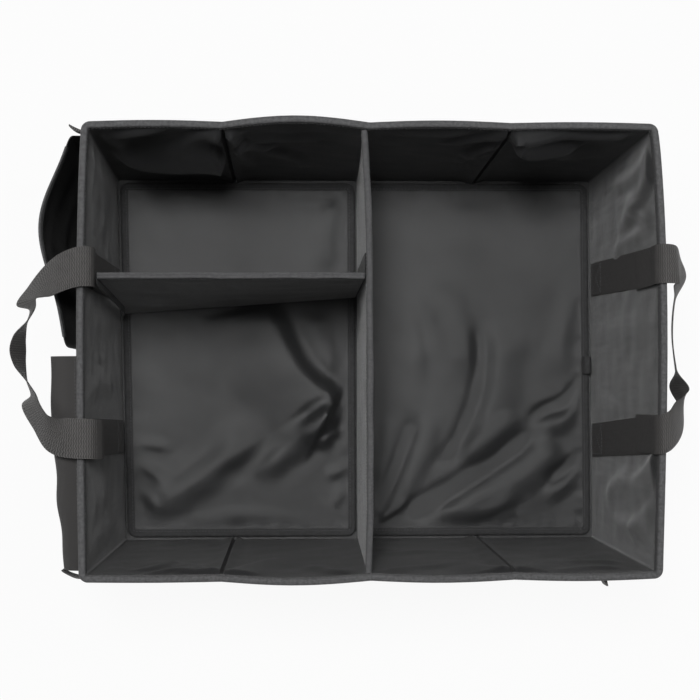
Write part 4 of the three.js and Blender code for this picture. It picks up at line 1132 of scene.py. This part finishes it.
# %% Main divider
DIVIDER_CLOTH, DIVIDER_TAPE, DIVIDER_TAPE_DEPTH = 0.6, 0.6, 9
MAIN_TOP, CROSS_TOP = HEIGHT - 5, HEIGHT - 8
MAIN_FOOT, CROSS_FOOT = PAD_SEAT, 11.2
MAIN_REACH = 213
FACE_STEP, CARD_HALF = 4, 1


def main_end(z):
    """How far the main divider reaches to the front and back."""
    return inside_wall("back", 0, z, 2 * CLEARANCE + RIM_TAPE)[..., 1]


def main_sway(y, z):
    """The top of the main divider is drawn to the left where the walls pinch it."""
    drawn = 4.8 * np.clip((y - 92) / 120, 0, 1) ** 1.5 + 1.5 * smooth(-y, 150, 205)
    return -drawn * (z / MAIN_TOP) ** 2


def main_face(side, name, seed):
    share, z = crossed(spread(-1, 1, FACE_STEP / MAIN_REACH), spread(MAIN_FOOT, MAIN_TOP - 0.9, FACE_STEP))
    y = share * main_end(z)
    puff = 0.5 * np.maximum(0, ripples(y, z, 55, seed) + 0.4)
    puff = puff * smooth(MAIN_TOP - z, 6, 30) * smooth(z - MAIN_FOOT, 6, 24) * smooth(210 - np.abs(y), 0, 12)
    x = DIVIDER_X + main_sway(y, z) + side * (DIVIDER_HALF + puff)
    piece = solid_sheet(name + "_cloth", xyz(x, y, z), xyz(x - side * DIVIDER_CLOTH, y, z))
    # The divider faces take the lighter lining copy, whose paler colour is painted light.
    dress(piece, painted_lit_lining, "lining", name)


main_face(-1, "main_divider_left_face", 51)
main_face(1, "main_divider_right_face", 53)
share, z = crossed(spread(-0.98, 0.98, 6 / MAIN_REACH), spread(MAIN_FOOT + 1, MAIN_TOP - 1.4, 8))
y = share * main_end(z)
main_card = solid_sheet("main_divider_card", *(xyz(DIVIDER_X + main_sway(y, z) + side, y, z)
                                               for side in (-CARD_HALF, CARD_HALF)))
dress(main_card, board, "stiff_board", "main_divider_board")


def divider_hood(name, top, place_at, length, groove, node, seed):
    """The tape over a divider's top edge."""
    u = spread(0, 1, 2.4 / length)
    along = u * length
    pucker = puckers(along, 0.2, 0.5, 30, seed)[:, None]
    sway = 0.35 * ripples(along, 0 * along, 48, seed + 1)[:, None]
    grids = []
    for across, z in hood_section(-DIVIDER_HALF, DIVIDER_HALF, top - DIVIDER_TAPE_DEPTH, top, DIVIDER_TAPE, groove):
        leg = smooth(top - z, 2, DIVIDER_TAPE_DEPTH)
        grids.append(place_at(u[:, None], across * (1 + 0.03 * pucker) + sway * (1 - leg),
                              z + (1 - leg) * 0.3 * (pucker - 1) - 0.4 * leg**3 * pucker))
    dress(solid_sheet(name, *grids), binding_tape, "binding_tape", node)
    reach = DIVIDER_HALF + CLEARANCE + DIVIDER_TAPE + 0.1
    for side in (-reach, reach):
        seam(NODE_BODY[node], place_at(np.linspace(0.01, 0.99, round(length / 4)), side, top - 6.5))


def main_place(u, across, z):
    """A point of the main divider, at a share of its length, across it and at a height."""
    y = (2 * u - 1) * main_end(z)
    return xyz(DIVIDER_X + main_sway(y, z) + across, y, z)


divider_hood("main_divider_tape", MAIN_TOP, main_place, 2 * MAIN_REACH, 0, "main_divider_binding", 61)
print("main divider made")

# %% Cross divider
LEFT_ARCH, WEBBING_WIDTH, WEBBING = 14, 38, 1.5
FLAP_CLOTH, CROSS_SHOULDER = 0.8, 70
CROSS_DROOP = (-2.4, -6.5)
arch_x = float(wall_point("left", wall_q("left", CROSS_LEFT_Y[1]), HEIGHT, LEFT_ARCH)[0])
flap_room = FLAP_CLOTH + 2 * CLEARANCE


def beside_lining(z, room):
    return float(inside_wall("left", CROSS_LEFT_Y[0], z, room)[0])


cross_foot_x = max(beside_lining(CROSS_FOOT, flap_room), beside_lining(HEIGHT, flap_room + CLEARANCE + RIM_TAPE))
cross_foot_x += CLEARANCE
cross_flap_x = arch_x + WEBBING / 2 + 1.5
main_tape_x = DIVIDER_X - DIVIDER_HALF - CLEARANCE - DIVIDER_TAPE
cross_x = (cross_flap_x + FLAP_CLOTH + CLEARANCE, main_tape_x - DIVIDER_TAPE - FLAP_CLOTH - CLEARANCE)
cross_length = cross_x[1] - cross_x[0]


def cross_place(u, across, z):
    """A point of the cross divider, at a share of its length, across it and at a height."""
    u, across, z = np.broadcast_arrays(*(np.asarray(v, float) for v in (u, across, z)))
    share = (z - CROSS_FOOT) / (CROSS_TOP - CROSS_FOOT)
    left = CROSS_LEFT_Y[0] + (CROSS_LEFT_Y[1] - CROSS_LEFT_Y[0] + CROSS_DROOP[0]) * share
    right = CROSS_RIGHT_Y[0] + (CROSS_RIGHT_Y[1] - CROSS_RIGHT_Y[0] + CROSS_DROOP[1]) * share
    to_shoulder = np.clip((z - CROSS_FOOT) / (CROSS_SHOULDER - CROSS_FOOT), 0, 1)
    end = cross_foot_x + (cross_x[0] - cross_foot_x) * to_shoulder
    return np.stack([end + (cross_x[1] - end) * u, left + (right - left) * u + across, z], -1)


def cross_face(side, name):
    u, z = crossed(spread(0, 1, FACE_STEP / cross_length), spread(CROSS_FOOT, CROSS_TOP - 0.9, FACE_STEP))
    puff = 0.6 * np.maximum(0, ripples(u * cross_length, z, 60, 55 + side) + 0.4)
    puff = puff * smooth(CROSS_TOP - z, 8, 30) * smooth(z - CROSS_FOOT, 4, 24) * smooth(np.minimum(u, 1 - u), 0, 0.06)
    piece = solid_sheet(name + "_cloth", cross_place(u, side * (DIVIDER_HALF + puff), z),
                        cross_place(u, side * (DIVIDER_HALF - DIVIDER_CLOTH + puff), z))
    # The divider faces take the lighter lining copy, whose paler colour is painted light.
    dress(piece, painted_lit_lining, "lining", name)
    cross_length * MM


u, z = crossed(spread(0.02, 0.98, 6 / cross_length), spread(CROSS_FOOT + 1, CROSS_TOP - 1.6, 8))
cross_card = solid_sheet("cross_divider_card", cross_place(u, -CARD_HALF, z), cross_place(u, CARD_HALF, z))
dress(cross_card, board, "stiff_board", "cross_divider_board")
cross_face(-1, "cross_divider_front_face")
cross_face(1, "cross_divider_back_face")
divider_hood("cross_divider_tape", CROSS_TOP, cross_place, cross_length, 0.9, "cross_divider_binding", 65)


def end_flap(name, u, side, start, stop):
    """A flap of hook tape beside one end of the cross divider, from one distance across it to another."""
    across, z = crossed(spread(start, stop, 1.6), spread(CROSS_FOOT, CROSS_TOP - 2, 4))
    free = smooth(np.abs(across), DIVIDER_HALF, np.abs(stop))
    wave = side * np.abs(ripples(across, z, 60, 71)) * -0.35 * free
    near, far = cross_place(u, across, z), cross_place(u, across, z)
    near[..., 0] += side * CLEARANCE + wave
    far[..., 0] += side * (CLEARANCE + FLAP_CLOTH) + wave
    dress(solid_sheet(f"{name}_tape", near, far), hook_tape, "hook_tape", name)


end_flap("cross_divider_left_flap", 0, -1, DIVIDER_HALF, -DIVIDER_HALF - 7)
end_flap("cross_divider_right_flap", 1, 1, -DIVIDER_HALF, 22)
print("cross divider is", round(cross_length, 1), "mm long")

# %% [markdown]
# ## Handles
# Each handle is one length of webbing. Its ends run flat down the inside of the end wall and are sewn there
# with a box and a cross, and its middle arches over the rim, hangs outside, and turns on its edge. A
# ribbon along a curve, with its own direction across at each stop, follows such a twist. A bevelled curve
# would choose its twist by itself.

# %% Handle anchors
ANCHOR_FOOT, ANCHOR_TOP = 14.6, 262
ANCHORS = {
    "left_back": ("left", 84, 81),
    "left_front": ("left", -89, -84),
    "right_back": ("right", 91, 83),
    "right_front": ("right", -95, -82),
}


def anchor_point(place, z, across, room):
    """A point of a strap, at a height, at a share of its width and at a distance in from the lining."""
    wall, foot, top = ANCHORS[place]
    middle = foot + (top - foot) * (z - ANCHOR_FOOT) / (ANCHOR_TOP - ANCHOR_FOOT)
    return inside_wall(wall, middle + across * WEBBING_WIDTH, z, room)


def anchor(place):
    z, across = crossed(spread(ANCHOR_FOOT, ANCHOR_TOP, 4), np.linspace(-0.5, 0.5, 11))
    room = CLEARANCE + (0.15 + 0.15 * np.sin(z / 17))
    thin = WEBBING * 0.3 * np.abs(2 * across) ** 6
    piece = solid_sheet(f"handle_anchor_{place}_webbing", anchor_point(place, z, across, room + WEBBING - thin),
                        anchor_point(place, z, across, room))
    dress(piece, webbing, "webbing", f"handle_anchor_{place}")


BOX_LOW, BOX_HIGH, BOX_SIDE = ANCHOR_FOOT + 4, ANCHOR_FOOT + 44, 0.42
BOX_LINES = [(z, z, -BOX_SIDE, BOX_SIDE, 12) for z in (BOX_LOW, BOX_HIGH)]
for side in (-BOX_SIDE, BOX_SIDE):
    BOX_LINES += [(BOX_LOW, BOX_HIGH, side, side, 14), (BOX_LOW, BOX_HIGH, -side, side, 14)]
for place in ANCHORS:
    anchor(place)
    for low, high, start, stop, count in BOX_LINES:
        seam("box", anchor_point(place, np.linspace(low, high, count), np.linspace(start, stop, count),
                                 CLEARANCE + 0.4 + WEBBING))

# %% Handle loops
on_anchor = -(WALL + 3 * CLEARANCE + 1.5 * WEBBING)
LEFT_LOOP = [
    (on_anchor, 81, -72, 0, 1, 0),
    (on_anchor - 0.6, 81, -50, 0, 1, 0),
    (-LEFT_ARCH, 80, -16, 0, 1, 0),
    (1.5 - LEFT_ARCH, 80, 1, 0, 1, 0),
    (-1, 79, 6.5, 0, 1, 0),
    (14, 74, 5, 0.08, 0.97, -0.2),
    (27, 67, -2, 0.27, 0.81, -0.52),
    (40, 56, -6, 0.55, 0.3, -0.78),
    (50, 47, -11, 0.64, -0.1, -0.76),
    (46, 41, -20, 0.33, 0, -0.94),
    (51.4, 28, -21, 0.21, 0, -0.98),
    (58, 15, -21, -0.08, 0, -1),
    (60, 1, -21, -0.19, 0, -0.98),
    (58, -14, -21, -0.08, 0, -1),
    (51, -30, -21, 0.21, 0, -0.98),
    (45, -43, -20, 0.33, 0, -0.94),
    (46.5, -50, -11, 0.57, -0.12, -0.81),
    (36, -68, -6, 0.48, -0.36, -0.8),
    (23, -80, 0, 0.35, -0.81, -0.47),
    (6, -83, 6, 0.03, -1, -0.06),
    (1 - LEFT_ARCH, -84, 4, 0, -1, 0),
    (-LEFT_ARCH - 6, -85, -8, 0, -1, 0),
    (-LEFT_ARCH - 5, -86, -34, 0, -1, 0),
    (on_anchor - 2, -86, -72, 0, -1, 0),
    (on_anchor, -87, -104, 0, -1, 0),
]
RIGHT_LOOP = [
    (on_anchor, 83, -74, 0, 1, 0),
    (on_anchor, 83, -20, 0, 1, 0),
    (on_anchor - 0.8, 83, -4, 0, 1, 0),
    (-1.5, 83, 4.5, 0, 1, 0),
    (10, 82, 2, 0.02, 0.98, -0.2),
    (15.5, 77, -9, 0.25, 0.7, -0.67),
    (18, 67, -15.5, 0.53, 0.28, -0.8),
    (14, 49.5, -20, 0.28, 0.03, -0.96),
    (11.5, 15.5, -21, 0.28, 0, -0.96),
    (15, -19.5, -20, 0.25, 0, -0.97),
    (17.5, -36, -18, -0.21, 0, -0.97),
    (20.5, -52, -14, 0.2, -0.4, -0.9),
    (13.5, -66, -5, 0.3, -0.8, -0.52),
    (4, -77, 3, 0.1, -0.97, -0.2),
    (-3.5, -81, 4.5, 0, -1, 0),
    (on_anchor - 0.8, -82, -4, 0, -1, 0),
    (on_anchor - 0.3, -82, -24, 0, -1, 0),
    (on_anchor - 0.3, -82, -74, 0, -1, 0),
]


def loop_stops(wall, stops):
    """The places of a loop's stops, and its direction across at each of them."""
    middle = []
    for out, y, up, *_ in stops:
        x, y_at, _z = inside_wall(wall, y, min(HEIGHT + up, HEIGHT), -WALL - out)
        middle.append((x, y_at, HEIGHT + up))
    sign = -1 if wall == "left" else 1
    return middle, [(sign * out, y, up) for *_, out, y, up in stops]


def loop_seam(middle, turn, span, side):
    """Stitches across a loop, where both ends of it are sewn to the straps below."""
    t = np.linspace(*span, 16)
    place, tangent = curve_points(middle, t)
    across = unit(curve_points(turn, t)[0])
    proud = unit(np.cross(tangent, across)) * side * (WEBBING / 2 + 0.1)
    for share in (-0.44, 0.44):
        seam("box", place + across * share * WEBBING_WIDTH + proud)
    for k in (0, -1):
        seam("box", place[k] + across[k] * np.linspace(-0.44, 0.44, 12)[:, None] * WEBBING_WIDTH + proud[k])


for wall, stops, side in (("left", LEFT_LOOP, 1), ("right", RIGHT_LOOP, -1)):
    middle, turn = loop_stops(wall, stops)
    spans = len(stops) - 1
    loop = ribbon(f"handle_loop_{wall}_webbing", middle, turn, WEBBING_WIDTH, WEBBING, spans * 10 + 1, 15)
    dress(loop, webbing, "webbing", f"handle_loop_{wall}")
    loop_seam(middle, turn, (0.004, 1.6 / spans), side)
    loop_seam(middle, turn, (1 - 1.6 / spans, 0.996), side)
print("handles made")

# %% [markdown]
# ## Outer pockets
# Two pockets are sewn outside the left end. The back one is open and bags outwards between its gussets. The
# front one lies flatter under a flap, which is closed by a strip of hook tape. Inflating cloth could shape
# them, but a swell worked out along the wall is easier to keep clear of the handle.

# %% Pocket shapes
POCKET_CLOTH, POCKET_FOOT = 0.8, 70
OPEN_TOP, OPEN_ENDS = HEIGHT - 25, (3, 211)
FLAP_TOP, FLAP_ENDS = HEIGHT - 38, (-207, -8)
FLAP_SEAM_TOP, FLAP_HANG = HEIGHT - 12, 62


def outside_left(y, z, out):
    return wall_point("left", wall_q("left", y, z), z, -out)


def end_rise(u):
    return np.sin(np.pi * np.clip(u, 0, 1)) ** 0.12


def open_swell(u):
    return end_rise(u) * (20 + 20.5 * np.sin(np.pi * np.clip(u, 0, 1) ** 1.25) ** 2)


def flap_reach(u):
    return 18 + 10 * smooth(u, 0, 0.8)


def flap_swell(u):
    return end_rise(u) * (flap_reach(u) - 4)


def pocket_profile(share):
    return np.minimum(1, share * 9) * (0.72 + 0.28 * share)


pocket_columns = 0.5 - 0.5 * np.cos(np.linspace(0, math.pi, 75))
pocket_rows = np.concatenate([np.linspace(0, 0.12, 7)[:-1], np.linspace(0.12, 1, 40)])


def pocket_panel(name, ends, top, swell, seed):
    u, share = crossed(pocket_columns, pocket_rows)
    y = ends[0] + (ends[1] - ends[0]) * u
    z = POCKET_FOOT + (top - POCKET_FOOT) * share
    loose = smooth(np.minimum(u, 1 - u), 0.02, 0.15) * smooth(share, 0.05, 0.3) * smooth(1 - share, 0.02, 0.2)
    out = CLEARANCE + swell(u) * pocket_profile(share) + 1.2 * ripples(y, z, 70, seed) * loose
    face = outside_left(y, z, out + POCKET_CLOTH)
    under = outside_left(y + (0.5 - u) * 2 * POCKET_CLOTH, z + POCKET_CLOTH * (1 - share), out)
    piece = solid_sheet(f"{name}_cloth", face, under)
    dress(piece, outer_cloth, "outer_cloth", f"{name}_panel")
    length = arc_lengths(face, 0, False)[-1]


pocket_panel("open_pocket", OPEN_ENDS, OPEN_TOP, open_swell, 81)
pocket_panel("flap_pocket", FLAP_ENDS, FLAP_TOP, flap_swell, 83)


# %% Pocket tape and flap
def open_pocket_tape():
    top = OPEN_TOP + CLEARANCE + DIVIDER_TAPE
    u = pocket_columns[(pocket_columns > 0.05) & (pocket_columns < 0.95)][:, None]
    y = OPEN_ENDS[0] + (OPEN_ENDS[1] - OPEN_ENDS[0]) * u
    grids = []
    for across, z in hood_section(0, POCKET_CLOTH, OPEN_TOP - 8, top, DIVIDER_TAPE):
        z = np.minimum(z, top)
        share = (z - POCKET_FOOT) / (OPEN_TOP - POCKET_FOOT)
        out = CLEARANCE + open_swell(u) * pocket_profile(share) + across
        grids.append(outside_left(y, z, out))
    dress(solid_sheet("open_pocket_tape", *grids), binding_tape, "binding_tape", "open_pocket_binding")


open_pocket_tape()
FLAP_PATH = [(0, 0), (0.4, 1.5), (0.8, 4), (0.96, 7), (1, 12), (1, 35), (1, FLAP_HANG)]


def flap_grid(u, s, lift):
    """Places on the flap: u along its seam, s along its path from the seam to the hem."""
    path, _ = curve_points(FLAP_PATH, s)
    reach, drop = path[:, 0][None], path[:, 1][None]
    y = (FLAP_ENDS[0] - 3) + (FLAP_ENDS[1] - FLAP_ENDS[0] + 6) * u[:, None]
    near_end = np.minimum(u, 1 - u)[:, None]
    hem = smooth(drop, 30, FLAP_HANG)
    sag = 0.8 * ripples(y, drop, 60, 87) * smooth(reach, 0.1, 0.5) * (1 - 0.5 * hem)
    corner = 9 * (1 - smooth(near_end, 0, 0.05)) * hem
    out = CLEARANCE + reach * flap_reach(u)[:, None] + sag + lift * smooth(reach, 0.8, 1)
    z = FLAP_SEAM_TOP - drop + corner + lift * (1 - smooth(reach, 0.6, 0.95))
    return outside_left(y, z, out)


flap_u, flap_s = np.linspace(0, 1, 66), np.linspace(0, 1, 42)
flap = solid_sheet("pocket_flap_cloth", flap_grid(flap_u, flap_s, POCKET_CLOTH), flap_grid(flap_u, flap_s, 0))
dress(flap, flap_cloth, "flap_cloth", "pocket_flap")
for start, s in ((0.03, 0.93), (0.01, 0.05)):
    seam("box", flap_grid(np.linspace(start, 1 - start, 60), np.array([s]), POCKET_CLOTH + 0.15)[:, 0])


def hook_strip(name, node, out_at):
    """A strip of hook or loop tape that follows the pocket."""
    half = 60 / (FLAP_ENDS[1] - FLAP_ENDS[0])
    middle_z = FLAP_SEAM_TOP - FLAP_HANG + 14
    u, z = crossed(np.linspace(0.5 - half, 0.5 + half, 40), np.linspace(middle_z - 10, middle_z + 10, 8))
    y = FLAP_ENDS[0] + (FLAP_ENDS[1] - FLAP_ENDS[0]) * u
    piece = solid_sheet(name, outside_left(y, z, out_at(u, z) + 1), outside_left(y, z, out_at(u, z)))
    dress(piece, hook_tape, "hook_tape", node)


def out_on_panel(u, z):
    return 1.4 + flap_swell(u) * pocket_profile((z - POCKET_FOOT) / (FLAP_TOP - POCKET_FOOT))


hook_strip("flap_hook_tape", "flap_hook_strip", lambda u, z: flap_reach(u) - 1.2)
hook_strip("pocket_loop_tape", "pocket_loop_strip", out_on_panel)
print("pockets made")

# %% [markdown]
# ## Seam tabs
# Short doubled ribbons are caught in the corner seams and in the front wall. At this size one leaf with a
# slight belly can stand for both layers of such a ribbon.

# %% Seam tabs
TAB_WIDTH, TAB_MIDDLE = 16, HEIGHT - 22


def seam_tab(node, wall, q, z, length, sweep, width=TAB_WIDTH):
    """A doubled ribbon that sticks out of a wall. Sweep is how far its tip is bent aside."""
    root = wall_point(wall, q, z, -CLEARANCE)
    outward = unit((root - wall_point(wall, q, z, 4)) * (1, 1, 0))
    sideways = np.array([-outward[1], outward[0], 0])
    t, across = crossed(np.linspace(0, 1, 14), np.linspace(-0.5, 0.5, 9))
    grids = []
    for face in (0.5, -0.5):
        bend = sweep * t * t + face * 3 * (0.6 + 0.4 * np.sin(np.pi * t))
        grids.append(root + outward * (t * length)[..., None] + sideways * bend[..., None]
                     + np.array([0, 0, 1]) * (across * width)[..., None])
    dress(solid_sheet(f"{node}_ribbon", *grids), webbing, "webbing", node)


seam_tab("corner_tab_front", "left", -1.85, TAB_MIDDLE, 13, -17)
seam_tab("corner_tab_back", "left", 1.2, TAB_MIDDLE + 5.3, 14, -4, 12)
seam_tab("front_wall_tab", "front", float(wall_q("front", RIM_WIDTH / 2 - 52)), TAB_MIDDLE, 8, 2)
print("tabs made")

# %% [markdown]
# ## Sewing
# All seam lines are known now, so each body gets its stitches in one mesh. An object for each seam would
# work too, but one for each body is enough to let the stitches ride along.

# %% Sew all seams
for body in list(seam_lines):
    sew(body)

# %% [markdown]
# ## Floor and light
# The photograph has a plain white ground. The floor is a pale diffuse plane that also shines white to the
# camera, so the object's shadow stays on it while the ground reads as white. The light is soft: a broad lamp
# above, and one at each end of the box, as its end walls are lit more than its long ones.

# %% Floor
GLOW_SHARE = 0.93

bpy.ops.mesh.primitive_plane_add(size=6, location=(0, 0, -0.0005))
floor = bpy.context.object
floor.name = "floor"
floor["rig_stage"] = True


def seen_share(finish):
    """1 where a ray comes from the camera or from a shiny or clear surface."""
    path = finish.tree.nodes.new("ShaderNodeLightPath")
    camera_ray, glossy_ray, clear_ray = (
        Value(finish, path.outputs[f"Is {kind} Ray"]) for kind in ("Camera", "Glossy", "Transmission"))
    return camera_ray + glossy_ray + clear_ray


def white_floor():
    finish = Finish("white_floor", roughness=0.9, specular_ior_level=0.1)
    color = finish.blend(finish.noise(3, detail=2), (0.86, 0.86, 0.86), (0.9, 0.9, 0.9))
    finish.feed(finish.shader.inputs["Base Color"], color)
    glow = finish.node("ShaderNodeEmission", {}, {"Color": (1, 1, 1, 1), "Strength": 1.0})
    diffuse = Value(finish, finish.shader.outputs[0])
    mix = finish.node("ShaderNodeMixShader", {}, {0: seen_share(finish) * GLOW_SHARE, 1: diffuse, 2: glow})
    finish.feed(finish.output.inputs["Surface"], mix)
    return finish.material


floor.data.materials.append(white_floor())

# %% Lights
WORLD_LIGHT = 0.13
LAMP_AIM = np.array((0, 0, 0.1))

scene = bpy.context.scene
scene.view_settings.view_transform = "Standard"
scene.world = bpy.data.worlds.new("studio")
scene.world.use_nodes = True
sky = scene.world.node_tree
background = sky.nodes["Background"]
background.inputs["Color"].default_value = (1, 1, 1, 1)
strength = sky.nodes.new("ShaderNodeMapRange")
strength.inputs["To Min"].default_value = WORLD_LIGHT
strength.inputs["To Max"].default_value = 1
seen = sky.nodes.new("ShaderNodeLightPath")
sky.links.new(seen.outputs["Is Camera Ray"], strength.inputs["Value"])
sky.links.new(strength.outputs[0], background.inputs["Strength"])


def lamp(name, place, size, watts):
    data = bpy.data.lights.new(name, "AREA")
    data.shape = "RECTANGLE"
    data.size, data.size_y = size
    data.energy = watts
    holder = bpy.data.objects.new(name, data)
    holder.location = place
    direction = LAMP_AIM - np.array(place)
    yaw = math.atan2(direction[1], direction[0])
    tilt = math.acos(-direction[2] / np.linalg.norm(direction))
    holder.rotation_euler = (0, -tilt, yaw)
    scene.collection.objects.link(holder)


lamp("lamp_above", (-0.25, 0.38, 2.4), (0.6, 0.35), 25.5)
lamp("lamp_left", (-1.6, 0.3, 1.9), (0.7, 0.5), 6)
lamp("lamp_right", (1.5, 0.3, 1.9), (0.6, 0.5), 9)
print("lights made")

# %% Size
low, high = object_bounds()
print("visual box in metres:", [round(v, 4) for v in (*low, *high)])
